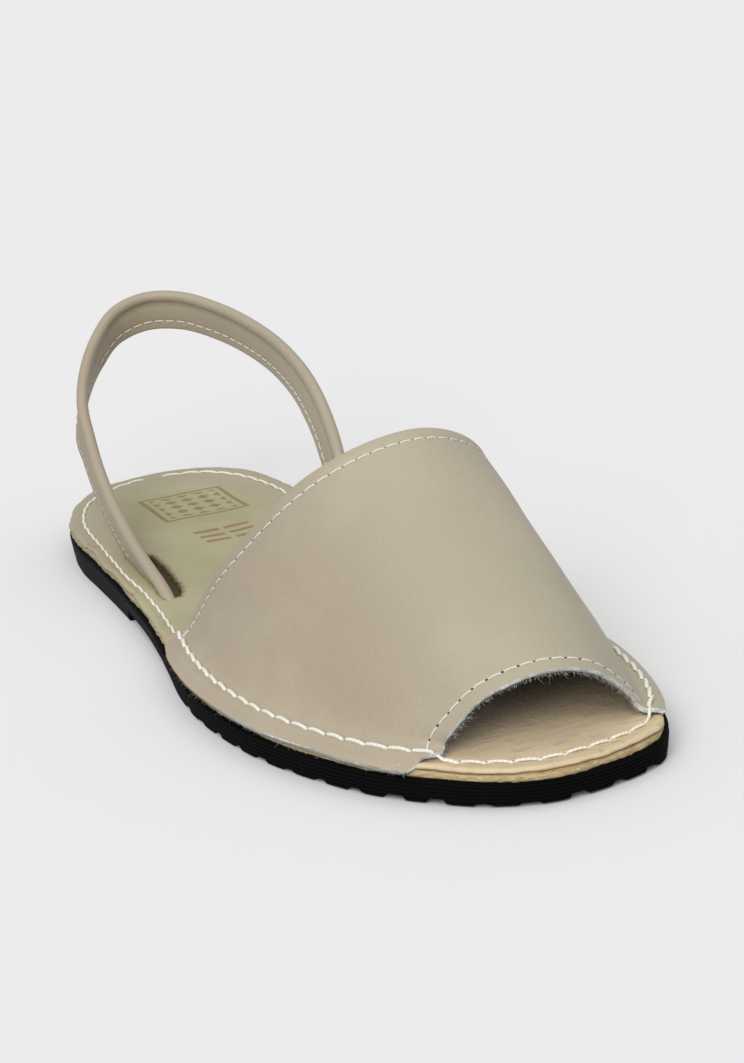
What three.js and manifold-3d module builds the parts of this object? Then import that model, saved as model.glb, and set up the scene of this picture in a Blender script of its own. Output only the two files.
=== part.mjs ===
// A right slingback sandal: rubber unit sole, leather midsole and insole, one-piece vamp, heel strap.
// Millimetres. +X points to the toe, +Y to the inner side of the foot, +Z up, from the ground it stands on.

import * as THREE from 'three';
import { mergeVertices } from 'three/addons/utils/BufferGeometryUtils.js';
import Module from 'manifold-3d';

const wasm = await Module();
wasm.setup();

// Sole and footbed
const footbedLength = 250;
const ballWidth = 87;
const rubberRim = 1;
const heelRim = -0.6;
const heelRimLength = 60;
const rubberHeelHeight = 6.9;
const rubberBallHeight = 5.4;
const toeSpring = 0.3;
const toeDrop = 0.3;
const heelBlockLength = 92;
const forefootStart = 150;
const archRise = 3;
const heelBevel = 5;
const sideTaper = 0.7;
const ribCount = 6;
const ribDepth = 0.4;
const ribStart = 112;
const ribFade = 16;
const lugCount = 10;
const lugFirst = 158;
const lugPitch = 9.4;
const lugGrooveWidth = 3.4;
const lugGrooveLength = 8;
const lugGrooveDepth = 1.2;
const midsoleHeel = 0.9;
const midsoleToe = 1.3;
const insoleThickness = 1;
const insoleRound = 0.35;

// Gap that glued or sewn layers keep between them
const seam = 0.3;

// Vamp: heights are above the flange that lies on the insole
const vampHeight = 46.8;
const vampWall = 1.3;
const flangeSetback = 0;
const flangeWidth = 4.9;
const hemDepth = 5;
const hemExtra = 0.6;

// Heel strap: a band with a rounded ridge along its upper edge
const strapRise = 52;
const strapWidth = 10.9;
const strapThickness = 2.2;
const ridgeRadius = 1.7;
const strapClearance = 0.5;
const slotSlack = 2.6;
const slotCorner = 1.4;

// Plan outline of the leather: shares of footbedLength and ballWidth, outer and inner half widths
const outlineSections = [
  { along: 0.02, outer: 0.163, inner: 0.189 },
  { along: 0.06, outer: 0.272, inner: 0.289 },
  { along: 0.12, outer: 0.346, inner: 0.338 },
  { along: 0.18, outer: 0.376, inner: 0.352 },
  { along: 0.25, outer: 0.385, inner: 0.348 },
  { along: 0.35, outer: 0.401, inner: 0.309 },
  { along: 0.45, outer: 0.428, inner: 0.286 },
  { along: 0.52, outer: 0.459, inner: 0.299 },
  { along: 0.6, outer: 0.501, inner: 0.354 },
  { along: 0.66, outer: 0.517, inner: 0.412 },
  { along: 0.72, outer: 0.511, inner: 0.449 },
  { along: 0.78, outer: 0.486, inner: 0.458 },
  { along: 0.84, outer: 0.434, inner: 0.435 },
  { along: 0.9, outer: 0.356, inner: 0.393 },
  { along: 0.95, outer: 0.247, inner: 0.338 },
  { along: 0.98, outer: 0.152, inner: 0.273 },
];

// Shares of the heel's extra rubber height, of the toe's spring and drop and of the midsole's extra thickness
const soleLevels = [
  { along: 0, heel: 1, spring: 0, midsole: 0 },
  { along: 0.16, heel: 1, spring: 0, midsole: 0 },
  { along: 0.28, heel: 0.82, spring: 0, midsole: 0.05 },
  { along: 0.38, heel: 0.5, spring: 0, midsole: 0.12 },
  { along: 0.48, heel: 0.22, spring: 0, midsole: 0.2 },
  { along: 0.6, heel: 0, spring: 0, midsole: 0.32 },
  { along: 0.8, heel: 0, spring: 0, midsole: 0.62 },
  { along: 0.9, heel: 0, spring: 0.05, midsole: 0.85 },
  { along: 0.95, heel: 0, spring: 0.22, midsole: 0.95 },
  { along: 1, heel: 0, spring: 1, midsole: 1 },
];

// Vamp sections from the rear edge to the toe opening. Feet are shares of footbedLength, each point is
// [share of ballWidth across, share of vampHeight up], and lean is the forward run per height.
const vampSections = [
  {
    nearFoot: 0.537, farFoot: 0.517, lean: 0.84,
    nearWall: [-0.347, 0.435], nearShoulder: [-0.16, 0.865], crown: [0.108, 1],
    farShoulder: [0.34, 0.775], farWall: [0.332, 0.354],
  },
  {
    nearFoot: 0.641, farFoot: 0.625, lean: 0.76,
    nearWall: [-0.338, 0.398], nearShoulder: [-0.166, 0.724], crown: [0.062, 0.83],
    farShoulder: [0.308, 0.672], farWall: [0.361, 0.33],
  },
  {
    nearFoot: 0.743, farFoot: 0.731, lean: 0.66,
    nearWall: [-0.303, 0.33], nearShoulder: [-0.143, 0.58], crown: [0.049, 0.657],
    farShoulder: [0.264, 0.548], farWall: [0.36, 0.289],
  },
  {
    nearFoot: 0.844, farFoot: 0.838, lean: 0.53,
    nearWall: [-0.253, 0.254], nearShoulder: [-0.12, 0.43], crown: [0.028, 0.478],
    farShoulder: [0.207, 0.407], farWall: [0.32, 0.23],
  },
  {
    nearFoot: 0.936, farFoot: 0.95, lean: 0.35,
    nearWall: [-0.198, 0.076], nearShoulder: [-0.124, 0.228], crown: [0.026, 0.303],
    farShoulder: [0.151, 0.248], farWall: [0.252, 0.088],
  },
];

// Upper edge of the heel strap, from the outer slot round the heel to the inner slot. Shares of
// footbedLength, ballWidth and strapRise; lean is the outward tilt of the band in radians.
const strapSections = [
  { along: 0.447, across: -0.336, up: -0.1, lean: -0.3 },
  { along: 0.428, across: -0.336, up: -0.035, lean: -0.3 },
  { along: 0.4, across: -0.335, up: 0.025, lean: -0.28 },
  { along: 0.35, across: -0.332, up: 0.082, lean: -0.22 },
  { along: 0.306, across: -0.328, up: 0.142, lean: -0.16 },
  { along: 0.236, across: -0.313, up: 0.258, lean: -0.06 },
  { along: 0.19, across: -0.298, up: 0.362, lean: 0.02 },
  { along: 0.156, across: -0.283, up: 0.467, lean: 0.1 },
  { along: 0.126, across: -0.267, up: 0.585, lean: 0.16 },
  { along: 0.098, across: -0.226, up: 0.712, lean: 0.2 },
  { along: 0.072, across: -0.158, up: 0.845, lean: 0.22 },
  { along: 0.054, across: -0.07, up: 0.958, lean: 0.24 },
  { along: 0.052, across: 0.031, up: 1.004, lean: 0.24 },
  { along: 0.07, across: 0.128, up: 0.998, lean: 0.22 },
  { along: 0.11, across: 0.208, up: 0.95, lean: 0.18 },
  { along: 0.165, across: 0.262, up: 0.885, lean: 0.1 },
  { along: 0.232, across: 0.282, up: 0.813, lean: 0 },
  { along: 0.304, across: 0.276, up: 0.706, lean: -0.12 },
  { along: 0.362, across: 0.259, up: 0.53, lean: -0.18 },
  { along: 0.398, across: 0.241, up: 0.31, lean: -0.2 },
  { along: 0.416, across: 0.228, up: 0.11, lean: -0.2 },
  { along: 0.424, across: 0.221, up: -0.1, lean: -0.2 },
];

const leather = 0xb9ab96;
const footbedCream = 0xcfc5aa;
const rawTan = 0xcfa568;
const blackRubber = 0x17181a;

// Value of one column of a table at a share of its length
function column(table, key, along) {
  for (let i = 1; i < table.length; i += 1) {
    if (along <= table[i].along) {
      const before = table[i - 1];
      const share = (along - before.along) / (table[i].along - before.along);
      return THREE.MathUtils.lerp(before[key], table[i][key], Math.max(share, 0));
    }
  }
  return table[table.length - 1][key];
}

function underside(x) {
  return toeSpring * column(soleLevels, 'spring', x / footbedLength);
}

function rubberTop(x) {
  const heel = (rubberHeelHeight - rubberBallHeight) * column(soleLevels, 'heel', x / footbedLength);
  return rubberBallHeight + heel - toeDrop * column(soleLevels, 'spring', x / footbedLength);
}

function midsoleTop(x) {
  const extra = (midsoleToe - midsoleHeel) * column(soleLevels, 'midsole', x / footbedLength);
  return rubberTop(x) + seam + midsoleHeel + extra;
}

function insoleTop(x) {
  return midsoleTop(x) + seam + insoleThickness;
}

// Half of the outline, from heel tip to toe tip, as points with outward normals at even steps
function outlineSide(side, steps) {
  const key = side < 0 ? 'outer' : 'inner';
  const other = side < 0 ? 'inner' : 'outer';
  const place = (row, name, sign) =>
    new THREE.Vector3(row.along * footbedLength, sign * row[name] * ballWidth, 0);
  const there = outlineSections.map((row) => place(row, key, side));
  const back = outlineSections.map((row) => place(row, other, -side)).reverse();
  const heelTip = new THREE.Vector3(0, 0, 0);
  const toeTip = new THREE.Vector3(footbedLength, 0, 0);
  const loop = [heelTip, ...there, toeTip, ...back];
  const curve = new THREE.CatmullRomCurve3(loop, true, 'centripetal');
  const toeShare = (there.length + 1) / loop.length;
  const fine = 600;
  const dense = [];
  for (let i = 0; i <= fine; i += 1) {
    const t = (toeShare * i) / fine;
    const point = curve.getPoint(t);
    const tangent = curve.getTangent(t);
    dense.push({ x: point.x, y: point.y, nx: -side * tangent.y, ny: side * tangent.x });
  }
  const lengths = [0];
  for (let i = 1; i <= fine; i += 1) {
    lengths.push(lengths[i - 1] + Math.hypot(dense[i].x - dense[i - 1].x, dense[i].y - dense[i - 1].y));
  }
  const result = [];
  let at = 0;
  for (let i = 0; i <= steps; i += 1) {
    const wanted = (lengths[fine] * i) / steps;
    while (at < fine && lengths[at] < wanted) {
      at += 1;
    }
    result.push(dense[at]);
  }
  return result;
}

const edges = { outer: outlineSide(-1, 600), inner: outlineSide(1, 600) };

// Point set in from the outline edge, where the edge at inset `reach` passes x
function edgePoint(side, x, reach, inset) {
  const points = edges[side];
  for (let i = 60; i < points.length - 20; i += 1) {
    const p = points[i];
    if (p.x - p.nx * reach >= x) {
      return { x: p.x - p.nx * inset, y: p.y - p.ny * inset };
    }
  }
  throw new Error('no outline point at ' + x);
}

function geometryOf(positions, triangles) {
  const geometry = new THREE.BufferGeometry();
  geometry.setAttribute('position', new THREE.Float32BufferAttribute(positions, 3));
  geometry.setIndex(triangles);
  return geometry;
}

function solidOf(geometry) {
  const bare = geometry.clone();
  bare.deleteAttribute('normal');
  bare.deleteAttribute('uv');
  const merged = mergeVertices(bare, 1e-5);
  return new wasm.Manifold(new wasm.Mesh({
    numProp: 3,
    vertProperties: new Float32Array(merged.attributes.position.array),
    triVerts: new Uint32Array(merged.index.array),
  }));
}

function geometryFromSolid(solid) {
  const mesh = solid.getMesh();
  return geometryOf(Array.from(mesh.vertProperties), Array.from(mesh.triVerts));
}

// Layer of the sole: rows from bottom to top, each with an inset and a height for a point of the edge
function slab(rows, steps) {
  const outer = outlineSide(-1, steps);
  const inner = outlineSide(1, steps);
  const ring = [...outer, ...inner.slice(1, -1).reverse()];
  const count = ring.length;
  const positions = [];
  for (const row of rows) {
    for (const p of ring) {
      const inset = row.inset(p);
      const x = p.x - p.nx * inset;
      positions.push(x, p.y - p.ny * inset, row.height(x));
    }
  }
  const triangles = [];
  for (let r = 0; r < rows.length - 1; r += 1) {
    for (let i = 0; i < count; i += 1) {
      const a = r * count + i;
      const b = r * count + ((i + 1) % count);
      triangles.push(a, b, b + count, a, b + count, a + count);
    }
  }
  const top = (rows.length - 1) * count;
  for (let i = 0; i < steps; i += 1) {
    const a = i;
    const b = i + 1;
    const c = (count - i - 1) % count;
    const d = (count - i) % count;
    if (i < steps - 1) {
      triangles.push(a, c, b);
      triangles.push(top + a, top + b, top + c);
    }
    if (i > 0) {
      triangles.push(a, d, c);
      triangles.push(top + a, top + c, top + d);
    }
  }
  return geometryOf(positions, triangles);
}

function outsoleSolid() {
  const rows = [];
  const rowCount = 2 * ribCount;
  for (let k = 0; k <= rowCount; k += 1) {
    const share = k / rowCount;
    const groove = k % 2 === 0 && k < rowCount ? ribDepth : 0;
    rows.push({
      inset: (p) => {
        const ribbed = THREE.MathUtils.smoothstep(p.x, ribStart, ribStart + ribFade);
        const bevel = heelBevel * Math.max(-p.nx, 0) ** 2 + sideTaper;
        const forward = THREE.MathUtils.smoothstep(p.x, 0, heelRimLength);
        const rim = THREE.MathUtils.lerp(heelRim, rubberRim, forward);
        return -rim + bevel * (1 - share) ** 1.3 + groove * ribbed;
      },
      height: (x) => THREE.MathUtils.lerp(underside(x), rubberTop(x), share),
    });
  }
  let sole = solidOf(slab(rows, 64));

  // The arched waist behind the ball, with the heel block's upright breast
  const arch = new THREE.Shape();
  arch.moveTo(heelBlockLength, -1);
  arch.lineTo(heelBlockLength, archRise);
  arch.quadraticCurveTo((heelBlockLength + forefootStart) / 2, archRise, forefootStart, 0);
  arch.lineTo(forefootStart, -1);
  const archCut = new THREE.ExtrudeGeometry(arch, { depth: 2 * ballWidth, bevelEnabled: false, curveSegments: 8 });
  archCut.rotateX(Math.PI / 2);
  archCut.translate(0, ballWidth, 0);
  sole = sole.subtract(solidOf(archCut));

  // Grooves between the lugs along the forefoot's edge
  for (const side of ['outer', 'inner']) {
    for (let i = 0; i < lugCount; i += 1) {
      const x = lugFirst + i * lugPitch;
      if (x < footbedLength - lugGrooveWidth) {
        const rim = edgePoint(side, x, 0, -rubberRim);
        const inside = edgePoint(side, x, 0, 1);
        const groove = new THREE.BoxGeometry(2 * lugGrooveLength, lugGrooveWidth, 2 * lugGrooveDepth);
        groove.rotateZ(Math.atan2(rim.y - inside.y, rim.x - inside.x));
        groove.translate(rim.x, rim.y, underside(x));
        sole = sole.subtract(solidOf(groove));
      }
    }
  }
  return sole;
}

function midsoleSolid() {
  const inset = () => 0;
  return solidOf(slab([
    { inset, height: (x) => rubberTop(x) + seam },
    { inset, height: midsoleTop },
  ], 64));
}

// Path of the strap's upper edge and the direction of the band below it
const strapPath = new THREE.CatmullRomCurve3(
  strapSections.map((row) => {
    const x = row.along * footbedLength;
    return new THREE.Vector3(x, row.across * ballWidth, insoleTop(x) + row.up * strapRise);
  }),
  false,
  'centripetal',
);

function strapRing(t) {
  const ridge = strapPath.getPoint(t);
  const tangent = strapPath.getTangent(t).normalize();
  const place = t * (strapSections.length - 1);
  const row = Math.min(Math.floor(place), strapSections.length - 2);
  const lean = THREE.MathUtils.lerp(strapSections[row].lean, strapSections[row + 1].lean, place - row);
  const down = new THREE.Vector3(0, 0, -1).addScaledVector(tangent, tangent.z).normalize();
  const outward = tangent.clone().cross(down);
  const band = down.clone().multiplyScalar(Math.cos(lean)).addScaledVector(outward, Math.sin(lean));
  const face = tangent.clone().cross(band);
  const half = strapThickness / 2;
  const depth = strapWidth - ridgeRadius;
  const neck = Math.asin(half / ridgeRadius);
  const outline = [];
  const arcSteps = 8;
  for (let i = 0; i <= arcSteps; i += 1) {
    const angle = neck + ((2 * Math.PI - 2 * neck) * i) / arcSteps;
    outline.push([ridgeRadius * Math.cos(angle), ridgeRadius * Math.sin(angle)]);
  }
  outline.push([depth - half / 2, -half], [depth, -half / 2], [depth, half / 2], [depth - half / 2, half]);
  return outline.map(([a, b]) => ridge.clone().addScaledVector(band, a).addScaledVector(face, b));
}

function sweptStrap(steps) {
  const positions = [];
  const triangles = [];
  const sides = strapRing(0).length;
  for (let i = 0; i <= steps; i += 1) {
    for (const p of strapRing(i / steps)) {
      positions.push(p.x, p.y, p.z);
    }
  }
  for (let i = 0; i < steps; i += 1) {
    for (let j = 0; j < sides; j += 1) {
      const a = i * sides + j;
      const b = i * sides + ((j + 1) % sides);
      triangles.push(a, b, b + sides, a, b + sides, a + sides);
    }
  }
  const last = steps * sides;
  for (let j = 1; j < sides - 1; j += 1) {
    triangles.push(0, j + 1, j);
    triangles.push(last, last + j, last + j + 1);
  }
  return geometryOf(positions, triangles);
}

// The strap stands on the midsole, inside the insole's slots
function heelStrapSolid() {
  const inset = () => 0;
  const below = solidOf(slab([
    { inset, height: () => -strapRise },
    { inset, height: (x) => midsoleTop(x) + seam },
  ], 64));
  return solidOf(sweptStrap(72)).subtract(below);
}

// Where one leg of the strap passes through the insole, as the two ends of its footprint
function strapFootprint(leg) {
  const passing = [];
  const samples = 400;
  for (let i = 0; i <= samples; i += 1) {
    const t = (leg + i / samples) / 2;
    for (const p of strapRing(t)) {
      if (p.z > midsoleTop(p.x) && p.z < insoleTop(p.x) + seam) {
        passing.push(p);
      }
    }
  }
  passing.sort((a, b) => a.x - b.x);
  const rearX = passing[0].x;
  const frontX = passing[passing.length - 1].x;
  const slope = (passing[passing.length - 1].y - passing[0].y) / (frontX - rearX);
  const offsets = passing.map((p) => p.y - slope * (p.x - rearX));
  return { rearX, frontX, slope, low: Math.min(...offsets), high: Math.max(...offsets) };
}

function insoleSolid() {
  const flat = () => 0;
  const rounded = () => insoleRound;
  let insole = solidOf(slab([
    { inset: flat, height: (x) => midsoleTop(x) + seam },
    { inset: flat, height: (x) => insoleTop(x) - insoleRound },
    { inset: rounded, height: insoleTop },
  ], 64));
  const legs = [strapFootprint(0), strapFootprint(1)];
  const slotLength = legs[0].frontX - legs[0].rearX;
  legs.forEach((foot, leg) => {
    const inward = leg === 0 ? 1 : -1;
    const front = foot.frontX + strapClearance;
    const rear = Math.min(foot.frontX - slotLength, foot.rearX) - strapClearance;
    const low = foot.low - strapClearance - (inward < 0 ? slotSlack : 0);
    const high = foot.high + strapClearance + (inward > 0 ? slotSlack : 0);
    const corners = [[rear, low], [front, low], [front, high], [rear, high]];
    const sheared = corners.map(([x, y]) => new THREE.Vector2(x, y + foot.slope * (x - foot.rearX)));
    const slot = new THREE.Shape();
    sheared.forEach((corner, i) => {
      const before = sheared[(i + 3) % 4];
      const after = sheared[(i + 1) % 4];
      const arrive = before.clone().sub(corner).setLength(slotCorner).add(corner);
      const leave = after.clone().sub(corner).setLength(slotCorner).add(corner);
      if (i === 0) {
        slot.moveTo(arrive.x, arrive.y);
      } else {
        slot.lineTo(arrive.x, arrive.y);
      }
      slot.quadraticCurveTo(corner.x, corner.y, leave.x, leave.y);
    });
    slot.closePath();
    const cut = new THREE.ExtrudeGeometry(slot, { depth: strapRise, bevelEnabled: false, curveSegments: 4 });
    insole = insole.subtract(solidOf(cut));
  });
  return insole;
}

// Rails of the vamp: one smooth line from the rear edge to the toe opening for each named point
const vampRails = ['nearWall', 'nearShoulder', 'crown', 'farShoulder', 'farWall'].map((name) =>
  new THREE.CatmullRomCurve3(vampSections.map((row) => {
    const near = vampFoot('outer', row.nearFoot * footbedLength, flangeWidth);
    const far = vampFoot('inner', row.farFoot * footbedLength, flangeWidth);
    const y = row[name][0] * ballWidth;
    const height = row[name][1] * vampHeight;
    const share = THREE.MathUtils.clamp((y - near.y) / (far.y - near.y), 0, 1);
    const x = THREE.MathUtils.lerp(near.x, far.x, share) + row.lean * height;
    return new THREE.Vector3(x, y, near.z + height);
  }), false, 'centripetal'));

// Point of the flange's upper face, set in from the edge of the insole
function vampFoot(side, x, inset) {
  const point = edgePoint(side, x, flangeWidth, inset);
  return new THREE.Vector3(point.x, point.y, insoleTop(point.x) + seam + vampWall);
}

// Outer line of the vamp at a share of its length, from flange edge to flange edge
function vampSection(share) {
  const place = share * (vampSections.length - 1);
  const row = Math.min(Math.floor(place), vampSections.length - 2);
  const footAt = (key) =>
    footbedLength * THREE.MathUtils.lerp(vampSections[row][key], vampSections[row + 1][key], place - row);
  const rise = new THREE.Vector3(0, 0, vampWall * 0.8);
  const bend = vampWall;
  const flange = (side, x) => [
    vampFoot(side, x, flangeSetback),
    vampFoot(side, x, (flangeSetback + flangeWidth - bend) / 2),
    vampFoot(side, x, flangeWidth - bend),
    vampFoot(side, x, flangeWidth).add(rise),
  ];
  const near = flange('outer', footAt('nearFoot'));
  const far = flange('inner', footAt('farFoot')).reverse();
  const middle = vampRails.map((rail) => rail.getPoint(share));
  const line = new THREE.CatmullRomCurve3([...near, ...middle, ...far], false, 'centripetal');
  const splits = [1, 1, 3, 5, 4, 5, 5, 4, 5, 3, 1, 1];
  const points = [];
  splits.forEach((split, segment) => {
    for (let i = 0; i < split; i += 1) {
      points.push(line.getPoint((segment + i / split) / splits.length));
    }
  });
  points.push(line.getPoint(1));
  return points;
}

function vampSolid() {
  const hemShare = hemDepth / (footbedLength * (vampSections[4].nearFoot - vampSections[0].nearFoot));
  const stations = [0, hemShare, hemShare * 1.15];
  const rest = 14;
  for (let i = 1; i <= rest; i += 1) {
    stations.push(THREE.MathUtils.lerp(hemShare * 1.15, 1, i / rest));
  }
  const outer = stations.map(vampSection);
  const columns = outer[0].length;
  const inner = outer.map((line, i) => line.map((point, j) => {
    const before = outer[Math.max(i - 1, 0)][j];
    const after = outer[Math.min(i + 1, outer.length - 1)][j];
    const left = line[Math.max(j - 1, 0)];
    const right = line[Math.min(j + 1, columns - 1)];
    const normal = after.clone().sub(before).cross(right.clone().sub(left)).normalize();
    const onFlange = j < 6 || j > columns - 7;
    const hem = i < 2 && !onFlange ? hemExtra : 0;
    return point.clone().addScaledVector(normal, -(vampWall + hem));
  }));
  const positions = [];
  for (const grid of [outer, inner]) {
    for (const line of grid) {
      for (const p of line) {
        positions.push(p.x, p.y, p.z);
      }
    }
  }
  const index = (layer, i, j) => (layer * outer.length + i) * columns + j;
  const triangles = [];
  const quad = (a, b, c, d) => triangles.push(a, b, c, a, c, d);
  for (let i = 0; i < outer.length - 1; i += 1) {
    for (let j = 0; j < columns - 1; j += 1) {
      quad(index(0, i, j), index(0, i + 1, j), index(0, i + 1, j + 1), index(0, i, j + 1));
      quad(index(1, i, j), index(1, i, j + 1), index(1, i + 1, j + 1), index(1, i + 1, j));
    }
    quad(index(0, i, 0), index(1, i, 0), index(1, i + 1, 0), index(0, i + 1, 0));
    const j = columns - 1;
    quad(index(0, i, j), index(0, i + 1, j), index(1, i + 1, j), index(1, i, j));
  }
  const last = outer.length - 1;
  for (let j = 0; j < columns - 1; j += 1) {
    quad(index(0, 0, j), index(0, 0, j + 1), index(1, 0, j + 1), index(1, 0, j));
    quad(index(0, last, j), index(1, last, j), index(1, last, j + 1), index(0, last, j + 1));
  }
  return solidOf(geometryOf(positions, triangles));
}

const sandal = new THREE.Group();
sandal.name = 'sandal';

function addPiece(name, solid, color, roughness) {
  const material = new THREE.MeshStandardMaterial({ color, roughness, metalness: 0 });
  const geometry = geometryFromSolid(solid);
  geometry.computeVertexNormals();
  const mesh = new THREE.Mesh(geometry, material);
  mesh.name = name;
  sandal.add(mesh);
  return mesh;
}

addPiece('outsole', outsoleSolid(), blackRubber, 0.7);
addPiece('midsole', midsoleSolid(), rawTan, 0.85);
addPiece('insole', insoleSolid(), footbedCream, 0.7);
addPiece('vamp', vampSolid(), leather, 0.5);
addPiece('heel_strap', heelStrapSolid(), leather, 0.5);

// The origin lies under the middle of the sandal's plan
const box = new THREE.Box3().setFromObject(sandal);
const middle = box.getCenter(new THREE.Vector3());
sandal.position.set(-middle.x, -middle.y, 0);
sandal.updateMatrixWorld(true);

export default sandal;
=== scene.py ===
"""Looks of a right slingback sandal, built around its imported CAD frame.

Shapes are worked out in millimetres in the sandal's own frame, which has x from the heel tip to the toe
and y to the inner side of the foot, and are then put into the row frame in metres.
"""

import math

import bpy
import numpy as np
from mathutils import Matrix, Vector
from mathutils.bvhtree import BVHTree


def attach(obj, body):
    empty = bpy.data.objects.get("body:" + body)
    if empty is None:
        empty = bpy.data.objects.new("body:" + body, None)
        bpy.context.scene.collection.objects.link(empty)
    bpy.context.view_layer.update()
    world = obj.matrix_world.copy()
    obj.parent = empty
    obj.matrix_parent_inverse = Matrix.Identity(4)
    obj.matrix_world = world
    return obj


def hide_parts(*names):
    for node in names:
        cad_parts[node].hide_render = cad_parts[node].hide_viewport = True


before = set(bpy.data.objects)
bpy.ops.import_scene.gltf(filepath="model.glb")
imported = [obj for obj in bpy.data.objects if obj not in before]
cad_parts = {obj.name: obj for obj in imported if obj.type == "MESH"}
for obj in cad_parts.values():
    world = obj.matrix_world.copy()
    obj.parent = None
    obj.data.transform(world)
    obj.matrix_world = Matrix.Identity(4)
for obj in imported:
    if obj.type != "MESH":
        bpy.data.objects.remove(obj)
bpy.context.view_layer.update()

MM = 0.001
chance = np.random.default_rng(7)


def table(columns, rows):
    """Named columns of a short table, as arrays."""
    return dict(zip(columns.split(), np.array(rows, float).T))


# Sole and footbed
FOOTBED_LENGTH = 250
BALL_WIDTH = 87
RUBBER_RIM = 1
HEEL_RIM = -0.6
HEEL_RIM_LENGTH = 60
RUBBER_HEEL_HEIGHT = 6.9
RUBBER_BALL_HEIGHT = 5.4
TOE_SPRING = 0.3
TOE_DROP = 0.3
HEEL_BLOCK_LENGTH = 92
FOREFOOT_START = 150
ARCH_RISE = 3
HEEL_BEVEL = 5
SIDE_TAPER = 0.7
RIB_COUNT = 6
RIB_DEPTH = 0.4
RIB_START = 112
RIB_FADE = 16
LUG_FIRST = 158
LUG_PITCH = 9.4
LUG_GROOVE_WIDTH = 4.4
LUG_GROOVE_LENGTH = 8
LUG_GROOVE_DEPTH = 1.2
MIDSOLE_HEEL = 0.9
MIDSOLE_TOE = 1.3
INSOLE_THICKNESS = 1
SEAM = 0.3

# Upper
VAMP_HEIGHT = 46.8
VAMP_WALL = 1.3
FLANGE_WIDTH = 4.9
HEM_DEPTH = 5
HEM_EXTRA = 0.6
STRAP_RISE = 52
SLOT_FIT = 0.6
STRAP_WIDTH = 10.9
STRAP_THICKNESS = 2.2
RIDGE_RADIUS = 1.5

# Plan outline of the leather: shares of the footbed's length, then half widths in shares of the ball's width
OUTLINE = table("along outer inner", [
    (0.02, 0.163, 0.189),
    (0.06, 0.272, 0.289),
    (0.12, 0.346, 0.338),
    (0.18, 0.376, 0.352),
    (0.25, 0.385, 0.348),
    (0.35, 0.401, 0.309),
    (0.45, 0.428, 0.286),
    (0.52, 0.459, 0.299),
    (0.6, 0.501, 0.354),
    (0.66, 0.517, 0.412),
    (0.72, 0.511, 0.449),
    (0.78, 0.486, 0.458),
    (0.84, 0.434, 0.435),
    (0.9, 0.356, 0.393),
    (0.95, 0.247, 0.338),
    (0.98, 0.152, 0.273),
])

# Shares of the heel's extra rubber height, of the toe's spring and drop and of the midsole's extra thickness
LEVELS = table("along heel spring midsole", [
    (0, 1, 0, 0),
    (0.16, 1, 0, 0),
    (0.28, 0.82, 0, 0.05),
    (0.38, 0.5, 0, 0.12),
    (0.48, 0.22, 0, 0.2),
    (0.6, 0, 0, 0.32),
    (0.8, 0, 0, 0.62),
    (0.9, 0, 0.05, 0.85),
    (0.95, 0, 0.22, 0.95),
    (1, 0, 1, 1),
])

# Feet are shares of the footbed's length, points are shares of ball width across and vamp height up
VAMP_FEET = table("near far lean", [
    (0.537, 0.517, 0.84),
    (0.641, 0.625, 0.76),
    (0.743, 0.731, 0.66),
    (0.844, 0.838, 0.53),
    (0.936, 0.95, 0.35),
])
VAMP_RAILS = {
    "near_wall": table("across up", [
        (-0.347, 0.435), (-0.338, 0.398), (-0.303, 0.33), (-0.253, 0.254), (-0.198, 0.076)]),
    "near_shoulder": table("across up", [
        (-0.16, 0.865), (-0.166, 0.724), (-0.143, 0.58), (-0.12, 0.43), (-0.124, 0.228)]),
    "crown": table("across up", [
        (0.108, 1), (0.062, 0.83), (0.049, 0.657), (0.028, 0.478), (0.026, 0.303)]),
    "far_shoulder": table("across up", [
        (0.34, 0.775), (0.308, 0.672), (0.264, 0.548), (0.207, 0.407), (0.151, 0.248)]),
    "far_wall": table("across up", [
        (0.332, 0.354), (0.361, 0.33), (0.36, 0.289), (0.32, 0.23), (0.252, 0.088)]),
}

# Upper edge of the heel strap from the outer slot round the heel to the inner slot
STRAP = table("along across up lean", [
    (0.447, -0.336, -0.1, -0.3),
    (0.428, -0.336, -0.035, -0.3),
    (0.4, -0.335, 0.025, -0.28),
    (0.35, -0.332, 0.082, -0.22),
    (0.306, -0.328, 0.142, -0.16),
    (0.236, -0.313, 0.258, -0.06),
    (0.19, -0.298, 0.362, 0.02),
    (0.156, -0.283, 0.467, 0.1),
    (0.126, -0.267, 0.585, 0.16),
    (0.098, -0.226, 0.712, 0.2),
    (0.072, -0.158, 0.845, 0.22),
    (0.054, -0.07, 0.958, 0.24),
    (0.052, 0.031, 1.004, 0.24),
    (0.07, 0.128, 0.998, 0.22),
    (0.11, 0.208, 0.95, 0.18),
    (0.165, 0.262, 0.885, 0.1),
    (0.232, 0.282, 0.813, 0),
    (0.304, 0.276, 0.706, -0.12),
    (0.362, 0.259, 0.53, -0.18),
    (0.398, 0.241, 0.31, -0.2),
    (0.416, 0.228, 0.11, -0.2),
    (0.424, 0.221, -0.1, -0.2),
])

# Distance of the thick thread from the leather's edge, on the outer and on the inner side
STITCH_LINE = table("along outer inner", [
    (0, 3.9, 3.9),
    (0.2, 3.7, 3.7),
    (0.26, 2.7, 3.5),
    (0.33, 2, 3.3),
    (0.39, 2.8, 3.1),
    (0.5, 3.1, 3),
    (0.65, 3.4, 3),
    (0.74, 2.9, 2.4),
    (0.82, 2.5, 1.7),
    (0.9, 2.3, 1.5),
    (0.94, 2.8, 2.1),
    (0.98, 4, 3.5),
    (1, 4.2, 4.2),
])

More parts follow.
